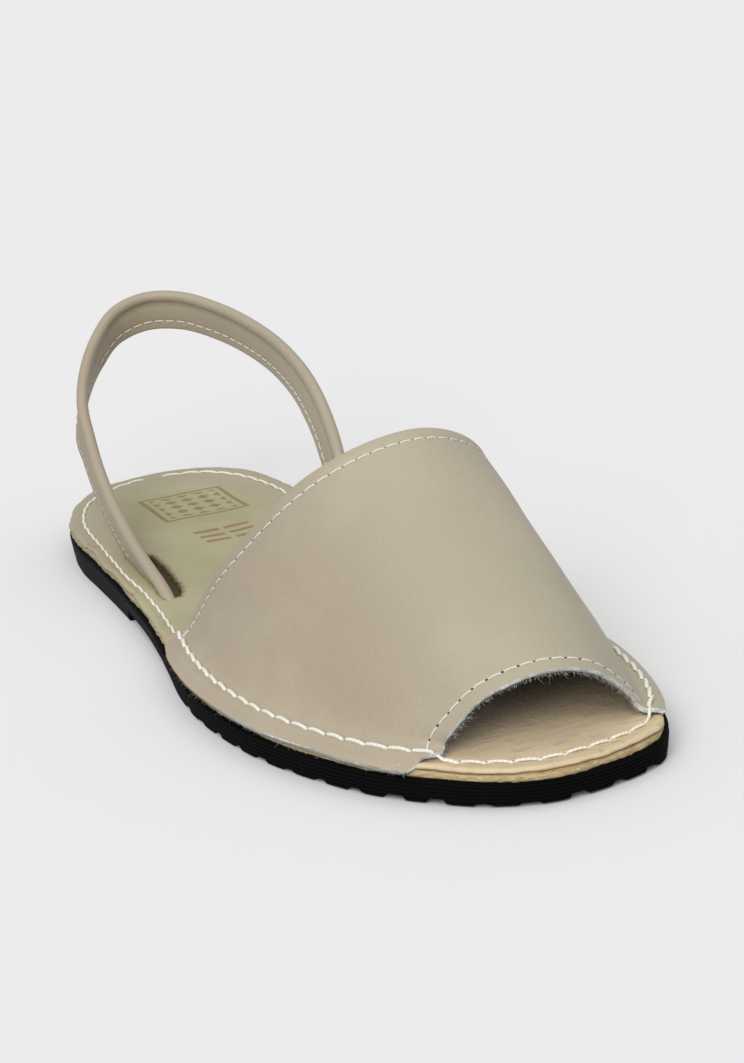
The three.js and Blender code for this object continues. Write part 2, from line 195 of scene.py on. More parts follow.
# Thread and stitches
SOLE_STITCH_PITCH = 5.35
SOLE_STITCH_FILL = 1.05
SOLE_STITCH_SLANT = -1.1
SOLE_HOLE = 0.24
SOLE_HOLES_FROM = 130
SOLE_THREAD = 0.35
FLANGE_THREAD = 0.48
HEM_STITCH_DEPTH = 3.2
HEM_STITCH_PITCH = 3.4
TOE_STITCH_DEPTH = 3.3
TOE_STITCH_PITCH = 3.4
STRAP_STITCH_INSET = 2.5
STRAP_STITCH_PITCH = 3
FINE_THREAD = 0.2
STITCH_STEPS = 10
STITCH_SIDES = 8

# The leather's heel tip is the sandal's own origin
midsole_points = np.array([v.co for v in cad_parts["midsole"].data.vertices])
heel_tip = midsole_points[np.argmin(midsole_points[:, 0])]
ORIGIN = np.array([heel_tip[0], heel_tip[1], 0])


def to_row(points):
    return np.asarray(points, float) * MM + ORIGIN


def bell(values, middle, reach):
    """1 at the middle, falling off smoothly on both sides of it."""
    return np.exp(-(((values - middle) / reach) ** 2))


def smooth(value, low, high):
    share = np.clip((np.asarray(value, float) - low) / (high - low), 0, 1)
    return share * share * (3 - 2 * share)


def mix(a, b, share):
    return a + (b - a) * share


def spline(points, closed=False):
    """Centripetal curve through points, as a function of the share of its number of spans."""
    points = np.asarray(points, float)
    if closed:
        spans = len(points)
        padded = np.concatenate([points[-1:], points, points[:2]])
    else:
        spans = len(points) - 1
        padded = np.concatenate([[2 * points[0] - points[1]], points, [2 * points[-1] - points[-2]]])

    def at(share):
        place = np.clip(np.asarray(share, float), 0, 1) * spans
        span = np.minimum(place.astype(int), spans - 1)
        w = (place - span)[..., None]
        p = [padded[span + k] for k in range(4)]
        d = [np.sqrt(np.linalg.norm(p[k + 1] - p[k], axis=-1, keepdims=True)) for k in range(3)]
        leave = (p[1] - p[0]) / d[0] - (p[2] - p[0]) / (d[0] + d[1]) + (p[2] - p[1]) / d[1]
        arrive = (p[2] - p[1]) / d[1] - (p[3] - p[1]) / (d[1] + d[2]) + (p[3] - p[2]) / d[2]
        leave, arrive = leave * d[1], arrive * d[1]
        cube = 2 * p[1] - 2 * p[2] + leave + arrive
        square = -3 * p[1] + 3 * p[2] - 2 * leave - arrive
        return cube * w**3 + square * w**2 + leave * w + p[1]

    return at


def even_steps(line, steps):
    """Shares of an open line's points, spaced evenly along its length."""
    lengths = np.concatenate([[0], np.cumsum(np.linalg.norm(np.diff(line, axis=0), axis=1))])
    return np.interp(np.linspace(0, lengths[-1], steps + 1), lengths, np.arange(len(line)))


def pick(values, places):
    """Rows of an array at fractional places."""
    low = np.clip(np.floor(places).astype(int), 0, len(values) - 2)
    share = (places - low).reshape(-1, *[1] * (values.ndim - 1))
    return values[low] * (1 - share) + values[low + 1] * share


def unit(vectors):
    return vectors / np.maximum(np.linalg.norm(vectors, axis=-1, keepdims=True), 1e-12)


def level(column, x):
    return np.interp(np.asarray(x) / FOOTBED_LENGTH, LEVELS["along"], LEVELS[column])


def underside(x):
    return TOE_SPRING * level("spring", x)


def rubber_top(x):
    heel = (RUBBER_HEEL_HEIGHT - RUBBER_BALL_HEIGHT) * level("heel", x)
    return RUBBER_BALL_HEIGHT + heel - TOE_DROP * level("spring", x)


def midsole_top(x):
    return rubber_top(x) + SEAM + MIDSOLE_HEEL + (MIDSOLE_TOE - MIDSOLE_HEEL) * level("midsole", x)


def insole_top(x):
    return midsole_top(x) + SEAM + INSOLE_THICKNESS


CURVE_STEPS = 2400
EDGE_STEPS = 1200


def outline_side(side, steps):
    """Half of the leather's outline, heel tip to toe tip: plan points and outward normals at even steps."""
    mine, other = ("outer", "inner") if side < 0 else ("inner", "outer")
    x = OUTLINE["along"] * FOOTBED_LENGTH
    there = np.stack([x, side * OUTLINE[mine] * BALL_WIDTH], 1)
    back = np.stack([x, -side * OUTLINE[other] * BALL_WIDTH], 1)[::-1]
    loop = np.concatenate([[[0, 0]], there, [[FOOTBED_LENGTH, 0]], back])
    share = np.linspace(0, (len(there) + 1) / len(loop), CURVE_STEPS)
    line = spline(loop, closed=True)(share)
    tangent = unit(np.gradient(line, axis=0))
    normal = np.stack([-side * tangent[:, 1], side * tangent[:, 0]], 1)
    places = even_steps(line, steps)
    return pick(line, places), unit(pick(normal, places))


EDGE = {"outer": outline_side(-1, EDGE_STEPS), "inner": outline_side(1, EDGE_STEPS)}

# Steps at the outline's two tips that no measure along the foot uses
HEEL_TIP_STEPS = 120
TOE_TIP_STEPS = 40


def ring(steps):
    """Whole outline, heel tip, outer side, toe, inner side."""
    outer, inner = outline_side(-1, steps), outline_side(1, steps)
    return [np.concatenate([outer[k], inner[k][1:-1][::-1]]) for k in (0, 1)]


def edge_point(side, x, reach, inset):
    """Plan points set in from the outline edge, where the edge at inset `reach` passes x."""
    points, normals = EDGE[side]
    ahead = np.arange(HEEL_TIP_STEPS, len(points) - TOE_TIP_STEPS)
    passing = np.maximum.accumulate(points[ahead, 0] - normals[ahead, 0] * reach)
    place = np.interp(x, passing, ahead)
    return pick(points, place) - pick(normals, place) * np.reshape(inset, (-1, 1))


def noise(points, size, seed):
    """Smooth random numbers about -1 to 1, for points in millimetres."""
    waves = np.random.default_rng(seed)
    total = np.zeros(len(points))
    for _ in range(10):
        direction = unit(waves.normal(size=points.shape[1])) / size * waves.uniform(0.6, 1.6)
        total += np.sin(2 * math.pi * (points @ direction) + waves.uniform(0, 2 * math.pi))
    return total / 3.2


def new_piece(name, vertices, faces, materials, face_material=None, sharp=None):
    """Mesh object in the row frame that rides on the sandal."""
    mesh = bpy.data.meshes.new(name)
    mesh.from_pydata(to_row(vertices).tolist(), [], [list(map(int, f)) for f in faces])
    for material in materials:
        mesh.materials.append(material)
    if face_material is not None:
        mesh.polygons.foreach_set("material_index", np.asarray(face_material, np.int32))
    mesh.shade_smooth()
    if sharp is not None:
        mesh.set_sharp_from_angle(angle=math.radians(sharp))
    mesh.validate()
    mesh.update()
    piece = bpy.data.objects.new(name, mesh)
    bpy.context.scene.collection.objects.link(piece)
    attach(piece, "root")
    return piece


def give(piece, name, values):
    """Numbers at the vertices that the material reads by name."""
    attribute = piece.data.attributes.new(name, "FLOAT", "POINT")
    attribute.data.foreach_set("value", np.asarray(values, np.float32).ravel())


def grid_faces(rows, columns, wrap_rows=False, wrap_columns=False):
    """Quads of a grid of points stored row after row."""
    i = np.arange(rows if wrap_rows else rows - 1)[:, None]
    j = np.arange(columns if wrap_columns else columns - 1)[None, :]
    after_i, after_j = (i + 1) % rows, (j + 1) % columns
    quads = [i * columns + j, after_i * columns + j, after_i * columns + after_j, i * columns + after_j]
    return np.stack([np.broadcast_to(q, (i.size, j.size)).ravel() for q in quads], 1)


class Value:
    """Socket of a material. Sums, products and other maths on it add Math nodes."""

    def __init__(self, finish, socket):
        self.finish, self.socket = finish, socket

    def math(self, operation, *others):
        inputs = {0: self, **dict(enumerate(others, 1))}
        return self.finish.node("ShaderNodeMath", {"operation": operation}, inputs)

    def __add__(self, other):
        return self.math("ADD", other)

    def __sub__(self, other):
        return self.math("SUBTRACT", other)

    def __mul__(self, other):
        return self.math("MULTIPLY", other)

    def __rsub__(self, other):
        return self * -1 + other

    __radd__, __rmul__ = __add__, __mul__

    def ramp(self, low, high):
        """0 below low, 1 above high, smooth between."""
        settings = {"interpolation_type": "SMOOTHSTEP"}
        return self.finish.node("ShaderNodeMapRange", settings, {"Value": self, 1: low, 2: high})

    def at_least(self, other):
        return self.math("MAXIMUM", other)

    def at_most(self, other):
        return self.math("MINIMUM", other)

    def size(self):
        return self.math("ABSOLUTE")


class Finish:
    """A material made of nodes, and the few ways in which this sandal's materials use them."""

    def __init__(self, name):
        self.material = bpy.data.materials.new(name)
        self.material.use_nodes = True
        self.tree = self.material.node_tree
        self.tree.nodes.clear()
        self.shader = self.tree.nodes.new("ShaderNodeBsdfPrincipled")
        output = self.tree.nodes.new("ShaderNodeOutputMaterial")
        self.tree.links.new(self.shader.outputs["BSDF"], output.inputs["Surface"])
        place = self.node("ShaderNodeTexCoord", {}, {}, "Object")
        scale = 1 / MM
        shift = tuple(-ORIGIN * scale)
        inputs = {0: place, 1: (scale,) * 3, 2: shift}
        self.place = self.node("ShaderNodeVectorMath", {"operation": "MULTIPLY_ADD"}, inputs, 0)
        self.x, self.y, self.z = self.node("ShaderNodeSeparateXYZ", {}, {0: self.place}, None)

    def node(self, kind, settings, inputs, output=0):
        """A node with its settings, then its inputs, given as values or links. Output None gives them all."""
        made = self.tree.nodes.new(kind)
        for name, value in settings.items():
            setattr(made, name, value)
        for name, value in inputs.items():
            self.put(made.inputs[name], value)
        if output is None:
            return [Value(self, s) for s in made.outputs]
        return Value(self, made.outputs[output])

    def put(self, socket, value):
        if isinstance(value, Value):
            self.tree.links.new(value.socket, socket)
        elif socket.type == "RGBA" and len(value) == 3:
            socket.default_value = (*value, 1)
        else:
            socket.default_value = value

    def set(self, **sockets):
        for name, value in sockets.items():
            self.put(self.shader.inputs[name.replace("_", " ")], value)
        return self.material

    def read(self, name):
        return self.node("ShaderNodeAttribute", {"attribute_name": name}, {}, "Fac")

    def cloud(self, size, detail=2, roughness=0.5, stretch=(1, 1, 1), turn=0.0):
        """Noise from 0 to 1 with patches of about `size` millimetres."""
        where = self.place
        if stretch != (1, 1, 1) or turn:
            inputs = {0: where, "Rotation": (0, 0, turn), "Scale": stretch}
            where = self.node("ShaderNodeMapping", {"vector_type": "POINT"}, inputs)
        inputs = {"Vector": where, "Scale": 1 / size, "Detail": detail, "Roughness": roughness}
        return self.node("ShaderNodeTexNoise", {}, inputs)

    def cells(self, size, feature="F1"):
        """Distance to the middle of the nearest of many cells of about `size` millimetres."""
        inputs = {"Vector": self.place, "Scale": 1 / size}
        return self.node("ShaderNodeTexVoronoi", {"feature": feature}, inputs)

    def blend(self, share, a, b):
        """Colour a, with b over it where share is 1."""
        return self.node("ShaderNodeMix", {"data_type": "RGBA"}, {0: share, 6: a, 7: b}, 2)

    def bump(self, height, depth, under=None):
        """Normal of a relief whose height of 1 is `depth` millimetres."""
        inputs = {"Height": height, "Distance": depth * MM, "Strength": 1.0}
        if under is not None:
            inputs["Normal"] = under
        return self.node("ShaderNodeBump", {}, inputs)


def from_screen(red, green, blue):
    """Linear colour of a screen colour given in 0 to 255."""
    share = np.array([red, green, blue]) / 255
    linear = np.where(share <= 0.04045, share / 12.92, ((share + 0.055) / 1.055) ** 2.4)
    return tuple(linear.tolist())


TAUPE = from_screen(194, 183, 160)
TAUPE_PAINTED_WARM_LIGHT = from_screen(178, 164, 143)
TAUPE_DEEP = from_screen(164, 149, 130)
TAUPE_PAINTED_GREEN_SHADE = from_screen(183, 175, 152)
GRAIN_SHADE = from_screen(158, 146, 124)
SCUFF_PALE = from_screen(214, 208, 190)
CREAM = from_screen(185, 178, 144)
CREAM_GREEN = from_screen(172, 167, 131)
CREAM_ROSE = from_screen(176, 166, 144)
TOE_BEIGE_AND_PAINTED_LIGHT = from_screen(236, 214, 178)
TOE_PAINTED_SHADE = from_screen(66, 52, 30)
STREAK_BROWN = from_screen(178, 144, 106)
RIM_BEIGE_AND_PAINTED_LIGHT = from_screen(216, 198, 160)
RIM_SHADE = from_screen(158, 130, 92)
RAW_TAN = from_screen(214, 184, 128)
RAW_PALE = from_screen(232, 216, 176)
RAW_DARK = from_screen(150, 106, 60)
FLESH_SIDE = from_screen(134, 112, 78)
FLESH_SHADE = from_screen(104, 82, 52)
FLESH_PAINTED_SHADE = from_screen(34, 23, 9)
CUT_PALE = from_screen(236, 238, 232)
CUT_SHADE = from_screen(178, 182, 176)
CUT_BROWN = from_screen(172, 150, 122)
THREAD_WHITE = from_screen(247, 245, 234)
THREAD_SHADE = from_screen(212, 206, 184)
THREAD_TAUPE = from_screen(214, 203, 180)
RUBBER_BLACK = from_screen(6, 6, 8)
RUBBER_GREY = from_screen(10, 12, 11)
RUBBER_DUST = from_screen(66, 70, 72)
STAMP_INK = from_screen(146, 117, 56)
SLOT_PAINTED_SHADE = from_screen(50, 40, 12)
SLOT_RIM_PAINTED_SHADE = from_screen(116, 96, 46)
HOLE_PAINTED_SHADE = from_screen(46, 36, 26)


def upper_leather():
    """Smooth taupe leather, deeper on the strap: painted warm light on the near side, painted greenish shade
    on the far side, fine grain, clouds of tone and a few rubbed specks.
    """
    f = Finish("upper_leather")
    tone = f.cloud(38, 3, 0.55).ramp(0.35, 0.65)
    # Painted light: a warm lit tint on the near side, turning into a darker, greenish painted shade on the
    # far side
    color = f.blend(f.y.ramp(-34, 6), TAUPE_PAINTED_WARM_LIGHT, TAUPE_PAINTED_GREEN_SHADE)
    color = f.blend(tone * 0.5, color, TAUPE)
    color = f.blend((1 - f.x.ramp(100, 125)) * 0.45, color, TAUPE_DEEP)
    fine = f.cloud(0.8, 4, 0.6)
    color = f.blend(fine.ramp(0.35, 0.75) * 0.16, color, GRAIN_SHADE)
    color = f.blend(scuffs(f), color, SCUFF_PALE)
    grain = f.cells(0.7, "SMOOTH_F1") * 0.5 + f.cloud(0.55, 3, 0.6) * 0.5
    pores = f.cells(1.3).ramp(0.0, 0.14)
    creases = f.cloud(1.7, 4, 0.65, (1, 0.65, 1), 0.5)
    relief = f.bump(grain, 0.09)
    relief = f.bump(creases, 0.13, relief)
    relief = f.bump(pores, 0.03, relief)
    relief = f.bump(f.cloud(6, 3, 0.5), 0.12, relief)
    rough = f.cloud(14, 3, 0.6) * 0.1 + fine * 0.1 + 0.36
    return f.set(Base_Color=color, Roughness=rough, Normal=relief, Specular_IOR_Level=0.4)


# Rubbed places on the vamp: middle and reach
SCUFFS = table("x y z reach", [
    (143, -29, 24, 5),
    (150, -27, 26, 4),
    (222, 6, 24, 4),
    (214, -1, 27, 3),
])


def scuffs(f):
    """Small pale specks and scratches in a few rubbed places."""
    specks = f.cloud(1.1, 3, 0.75, (1, 2.4, 1), 0.6).ramp(0.6, 0.68)
    total = 0
    for x, y, z, reach in zip(*(SCUFFS[name].tolist() for name in ("x", "y", "z", "reach"))):
        away = f.node("ShaderNodeVectorMath", {"operation": "DISTANCE"}, {0: f.place, 1: (x, y, z)}, "Value")
        total = (1 - away.ramp(reach * 0.4, reach * 1.6)) + total
    return (specks * total * 0.6).at_most(1)


def flesh_leather():
    """The brown, slightly fuzzy inside of the leather, with painted shade that darkens it towards the toe."""
    f = Finish("flesh_side_leather")
    fibre = f.cloud(0.7, 4, 0.7, (1, 2.2, 1))
    color = f.blend(fibre, FLESH_SIDE, FLESH_SHADE)
    # Painted shade inside the toe, deepening towards the front
    color = f.blend(f.x.ramp(150, 205) * 0.95, color, FLESH_PAINTED_SHADE)
    return f.set(Base_Color=color, Roughness=0.9, Normal=f.bump(fibre, 0.15), Specular_IOR_Level=0.2)


def cut_leather():
    """Raw cut edge of the upper: pale grey core with fibres, brown towards its rear."""
    f = Finish("cut_edge_leather")
    fibre = f.cloud(0.35, 4, 0.75)
    color = f.blend(fibre.ramp(0.35, 0.62), CUT_SHADE, CUT_PALE)
    color = f.blend(1 - f.x.ramp(170, 190), color, CUT_BROWN)
    return f.set(Base_Color=color, Roughness=0.92, Normal=f.bump(fibre, 0.2), Specular_IOR_Level=0.15)


def footbed_leather():
    """Cream footbed leather: rosy heel rim, streaked toe brightened by painted light, painted shade under the
    vamp, painted brown shade in and round the slots, and a stamp.
    """
    f = Finish("footbed_leather")
    clouds = f.cloud(30, 4, 0.6)
    color = f.blend(clouds.ramp(0.35, 0.7), CREAM, CREAM_GREEN)
    edge = f.read("from_edge")
    heel_rim = (1 - edge.ramp(6, 18)) * (1 - f.x.ramp(40, 120))
    color = f.blend(heel_rim * 0.75, color, CREAM_ROSE)
    front = f.x.ramp(180, 215)
    # Warm beige toe leather, made brighter here as painted light falling into the toe opening
    color = f.blend(front, color, TOE_BEIGE_AND_PAINTED_LIGHT)
    # Painted shade on the footbed under the front of the vamp
    deep = f.x.ramp(165, 190) * (1 - (f.x + f.y * 0.25).ramp(206, 230))
    color = f.blend(deep * 0.9, color, TOE_PAINTED_SHADE)
    streak = f.cloud(2.2, 5, 0.7, (1.7, 0.35, 1), 0.35)
    color = f.blend(streak.ramp(0.5, 0.75) * (front * 0.4 + 0.12), color, STREAK_BROWN)
    welt = 1 - edge.ramp(2.4, 3.8)
    blotch = f.cloud(5, 4, 0.65)
    # Beige rim at the toe, made brighter as painted light
    color = f.blend(welt * front * 0.6, color, RIM_BEIGE_AND_PAINTED_LIGHT)
    color = f.blend(welt * blotch.ramp(0.52, 0.72) * 0.5, color, RIM_SHADE)
    color = f.blend((edge * -1).ramp(0.45, 0.95) * f.x.ramp(90, 130) * 0.8, color, RAW_DARK)
    # Painted brown shade round the strap's slots and darker, patchy painted shade inside them, with ragged
    # edges
    slot = f.read("from_slot")
    ragged = slot + (f.cloud(0.9, 4, 0.7) - 0.5) * 3
    color = f.blend((1 - ragged.ramp(0.2, 1.7)) * 0.7, color, SLOT_RIM_PAINTED_SHADE)
    fuzz = (f.cloud(1.2, 3, 0.7) * 0.6 + 0.6).at_most(1)
    color = f.blend((1 - ragged.ramp(-0.5, 0.7)) * fuzz, color, SLOT_PAINTED_SHADE)
    worn = f.cloud(0.9, 3, 0.7).ramp(0.26, 0.42) * 0.85
    color = f.blend(stamp(f) * worn, color, STAMP_INK)
    fold = f.cloud(1.6, 4, 0.6, (0.5, 1.4, 1))
    relief = f.bump(f.cloud(0.5, 3, 0.6), 0.07)
    relief = f.bump(fold, 0.14, relief)
    relief = f.bump(streak * front, 0.3, relief)
    return f.set(Base_Color=color, Roughness=clouds * 0.15 + 0.45, Normal=relief, Specular_IOR_Level=0.3)


STAMP_CENTRE = (36.5, 2.5)
STAMP_HALF = 11.2
STAMP_BORDER = 1.2
STAMP_MARGIN = 1.9
STAMP_BLUR = 0.12
LOZENGE_PITCH = 4.6
LOZENGE_REACH = 1.8
MARK_CENTRE = (66, 1)
MARK_HALF_ACROSS = 7.5
MARK_PITCH = 4.6
MARK_BAR = 1.9
MARK_SPLIT = 0.7
MARK_BLUR = 0.1


def stamp(f):
    """Generic stamped ornament: a square frame filled with lozenges and a few short bars in front of it."""
    along = f.x - STAMP_CENTRE[0]
    across = f.y - STAMP_CENTRE[1]
    outside = along.size().at_least(across.size()) - STAMP_HALF
    border = 1 - (outside.size() - STAMP_BORDER / 2).ramp(-STAMP_BLUR, STAMP_BLUR)
    lozenge = along.math("PINGPONG", LOZENGE_PITCH / 2) + across.math("PINGPONG", LOZENGE_PITCH / 2)
    field = 1 - (outside + STAMP_MARGIN).ramp(-STAMP_BLUR, STAMP_BLUR)
    grid = (1 - (lozenge - LOZENGE_REACH).ramp(-STAMP_BLUR, STAMP_BLUR)) * field
    mark_x = f.x - MARK_CENTRE[0]
    mark_y = (f.y - MARK_CENTRE[1]).size()
    bar = (mark_x.math("PINGPONG", MARK_PITCH / 2) - MARK_BAR / 2).ramp(-STAMP_BLUR, STAMP_BLUR)
    lengthwise = 1 - (mark_x.size() - MARK_PITCH * 1.5).ramp(-MARK_BLUR, MARK_BLUR)
    patch = lengthwise * (1 - (mark_y - MARK_HALF_ACROSS).ramp(-MARK_BLUR, MARK_BLUR))
    split = (mark_y - MARK_SPLIT).ramp(-MARK_BLUR, MARK_BLUR)
    return (border + grid + (1 - bar) * patch * split).at_most(1)


def raw_leather():
    """Undyed midsole leather at its cut edge: pale tan fibres, brown at the top, greyer round the heel."""
    f = Finish("raw_leather")
    fibre = f.cloud(1.1, 5, 0.7, (1, 1, 3))
    color = f.blend(fibre.ramp(0.35, 0.65), RAW_TAN, RAW_PALE)
    top = f.read("height").ramp(0.7, 1)
    stain = f.cloud(7, 4, 0.65).ramp(0.5, 0.75)
    front = f.x.ramp(105, 150)
    color = f.blend((top * 0.6 + stain * 0.55).at_most(1) * front, color, RAW_DARK)
    color = f.blend((1 - f.x.ramp(90, 150)) * 0.75, color, CREAM_ROSE)
    return f.set(Base_Color=color, Roughness=0.85, Normal=f.bump(fibre, 0.35), Specular_IOR_Level=0.2)


def sole_rubber():
    """Moulded black rubber with fine pits and dust on it, greyer round the heel block."""
    f = Finish("sole_rubber")
    heel = 1 - f.x.ramp(90, 190)
    color = f.blend(heel, RUBBER_BLACK, RUBBER_GREY)
    pits = f.cloud(0.45, 3, 0.7)
    dust = f.cloud(1.1, 4, 0.75).ramp(0.62, 0.78)
    color = f.blend(dust * 0.25, color, RUBBER_DUST)
    relief = f.bump(pits, 0.12)
    return f.set(Base_Color=color, Roughness=pits * 0.2 + 0.62, Normal=relief, Specular_IOR_Level=0.08)


def thread_finish(name, light, shade):
    """Twisted thread: slanting plies from the numbers along and around each stitch."""
    f = Finish(name)
    ply = (f.read("along") * 5.5 + f.read("around") * 2).math("FRACT")
    strand = (ply - 0.5).size() * 2
    fuzz = f.cloud(0.3, 3, 0.7)
    tone = f.blend(strand.ramp(0.6, 1) * 0.5, light, shade)
    tone = f.blend(fuzz.ramp(0.55, 0.8) * 0.25, tone, shade)
    return f.set(Base_Color=tone, Roughness=0.75, Normal=f.bump(1 - strand, 0.1), Specular_IOR_Level=0.25)


def hole_finish():
    f = Finish("stitch_hole")
    # Painted shade of a needle hole
    return f.set(Base_Color=HOLE_PAINTED_SHADE, Roughness=0.95, Specular_IOR_Level=0.1)


UPPER = upper_leather()
FLESH = flesh_leather()
CUT = cut_leather()
FOOTBED = footbed_leather()
RAW = raw_leather()
RUBBER = sole_rubber()
THREAD = thread_finish("white_thread", THREAD_WHITE, THREAD_SHADE)
LOOPER = thread_finish("looper_thread", THREAD_TAUPE, TAUPE)
HOLE = hole_finish()


RING_STEPS = 420
EVEN_INSETS = [0.4 * i for i in range(22)]
MIDDLE_INSET = 30
SPINE_INSET = 0.14


def spine_of(x):
    """Points on the line down the middle of the outline, short of both tips."""
    x = np.clip(x, SPINE_INSET * FOOTBED_LENGTH, (1 - SPINE_INSET) * FOOTBED_LENGTH)
    sides = [np.interp(x, EDGE[side][0][:, 0], EDGE[side][0][:, 1]) for side in ("outer", "inner")]
    return np.stack([x, (sides[0] + sides[1]) / 2], 1)


def plan_rings(steps, rings):
    """Plan points from the outline inward: even insets at the rim, then shrinking on to the middle line."""
    points, normals = ring(steps)
    rows = [points - normals * inset for inset in EVEN_INSETS]
    rim = rows[-1]
    rows += [mix(rim, spine_of(rim[:, 0]), share) for share in np.linspace(0, 1, rings + 1)[1:]]
    insets = EVEN_INSETS + list(np.linspace(EVEN_INSETS[-1], MIDDLE_INSET, rings + 1)[1:])
    return rows, insets, points, normals


def ragged_rim(points, size, seed):
    """How far an edge cut by hand strays outward at the points of the outline."""
    slow = noise(points, 26, seed) * size
    quick = noise(points, 4.5, seed + 1) * size * 0.35
    return slow + quick


def find_lugs():
    """Notches between the lugs round the forefoot: rim point, way in, width and depth of each."""
    notches = []
    for points, normals in EDGE.values():
        run = np.concatenate([[0], np.cumsum(np.linalg.norm(np.diff(points, axis=0), axis=1))])
        first = np.interp(LUG_FIRST, points[:-TOE_TIP_STEPS, 0], run[:-TOE_TIP_STEPS])
        for place in np.searchsorted(run, np.arange(first, run[-1], LUG_PITCH)):
            width = LUG_GROOVE_WIDTH * chance.uniform(0.65, 1.1)
            depth = LUG_GROOVE_DEPTH * chance.uniform(0.6, 1.15)
            notches.append((points[place] + normals[place] * RUBBER_RIM, -normals[place], width, depth))
    return notches


LUGS = find_lugs()


def lug_grooves(plan):
    """Depth of the notches between the lugs at the rim of the forefoot."""
    total = np.zeros(len(plan))
    for rim, inward, width, depth in LUGS:
        away = plan - rim
        reach = away @ inward
        across = np.abs(away @ np.array([-inward[1], inward[0]]))
        wall = smooth(across, width / 2 + 0.45, width / 2 - 0.45)
        total = np.maximum(total, depth * wall * smooth(reach, LUG_GROOVE_LENGTH, LUG_GROOVE_LENGTH - 1))
    return total


TREAD_PITCH = 5.2
TREAD_WIDTH = 1.5
TREAD_DEPTH = 0.9
TREAD_WAVE = 2.2
TREAD_WAVE_LENGTH = 17
TREAD_MARGIN = 11


def tread(plan, inset):
    """Depth of the wavy grooves across the heel block and the forefoot."""
    wave = TREAD_WAVE * np.sin(2 * math.pi * plan[:, 1] / TREAD_WAVE_LENGTH)
    place = np.abs((plan[:, 0] + wave) % TREAD_PITCH - TREAD_PITCH / 2)
    groove = smooth(place, TREAD_WIDTH / 2 + 0.35, TREAD_WIDTH / 2 - 0.35)
    heel = smooth(plan[:, 0], HEEL_BLOCK_LENGTH - 8, HEEL_BLOCK_LENGTH - 9)
    front = smooth(plan[:, 0], FOREFOOT_START + 7, FOREFOOT_START + 8)
    return TREAD_DEPTH * groove * np.maximum(heel, front) * smooth(inset, TREAD_MARGIN - 2, TREAD_MARGIN - 1)


def waist_fall(x):
    """How far the waist has come down: 0 at the heel block's breast and 1 at the forefoot."""
    share = np.clip((x - HEEL_BLOCK_LENGTH) / (FOREFOOT_START - HEEL_BLOCK_LENGTH), 0, 1)
    return share**2


def sole_bottom(plan, inset):
    """Height of the rubber's underside."""
    x = plan[:, 0]
    arch = ARCH_RISE * (1 - waist_fall(x)) * (x > HEEL_BLOCK_LENGTH) * (x < FOREFOOT_START)
    return underside(x) + arch + np.maximum(lug_grooves(plan), tread(plan, inset))


ROWS_PER_RIB = 8
SOLE_CAP_ROWS = 60
LOW_CHAMFER = 0.35
HIGH_CHAMFER = 0.3
# A chamfer takes up one of this many parts of the side's height
CHAMFER_PARTS = 14


def build_outsole():
    """Unit sole with ribbed sides, lugs, waist and tread."""
    points, normals = ring(RING_STEPS)
    x = points[:, 0]
    forward = smooth(x, 0, HEEL_RIM_LENGTH)
    rim = mix(HEEL_RIM, RUBBER_RIM, forward)
    ribbed = smooth(x, RIB_START, RIB_START + RIB_FADE)
    bevel = HEEL_BEVEL * np.maximum(-normals[:, 0], 0) ** 2 + SIDE_TAPER
    wobble = noise(points, 30, 61) * 0.01 + noise(points, 3.5, 62) * 0.006
    side_rows = ROWS_PER_RIB * RIB_COUNT
    rows = []
    for k in range(side_rows + 1):
        share = k / side_rows
        crest = 0.5 + 0.5 * np.cos(2 * math.pi * (share + wobble) * RIB_COUNT)
        groove = RIB_DEPTH * crest**2 * ribbed * (share < 1)
        low = LOW_CHAMFER * max(0, 1 - share * CHAMFER_PARTS) ** 2
        chamfer = low + HIGH_CHAMFER * max(0, 1 - (1 - share) * CHAMFER_PARTS) ** 2
        inset = -rim + bevel * (1 - share) ** 1.3 + groove + chamfer
        plan = points - normals * inset[:, None]
        straight = mix(underside(plan[:, 0]), rubber_top(plan[:, 0]), share)
        rows.append(np.column_stack([plan, np.maximum(straight, sole_bottom(plan, inset) + 0.02 * share)]))
    bottom_plan = rows[0][:, :2]
    caps = []
    spine = spine_of(x)
    reach = np.linalg.norm(spine - bottom_plan, axis=1)
    for k in range(SOLE_CAP_ROWS, 0, -1):
        plan = mix(bottom_plan, spine, k / SOLE_CAP_ROWS)
        caps.append(np.column_stack([plan, sole_bottom(plan, reach * k / SOLE_CAP_ROWS)]))
    shelf = [mix(rows[-1][:, :2], spine, share) for share in (0.1, 1)]
    top = [np.column_stack([plan, rubber_top(plan[:, 0])]) for plan in shelf]
    rows = caps + rows + top
    faces = grid_faces(len(rows), len(points), wrap_columns=True)
    piece = new_piece("rubber_sole", np.concatenate(rows), faces, [RUBBER], sharp=38)
    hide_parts("outsole")


# Reach of the midsole inward from its edge, and where its two faces lie in the seams, as shares of a seam
MIDSOLE_REACH = 9
MIDSOLE_LOW = 0.15
MIDSOLE_HIGH = 0.4
MIDSOLE_SIDE_ROWS = 7


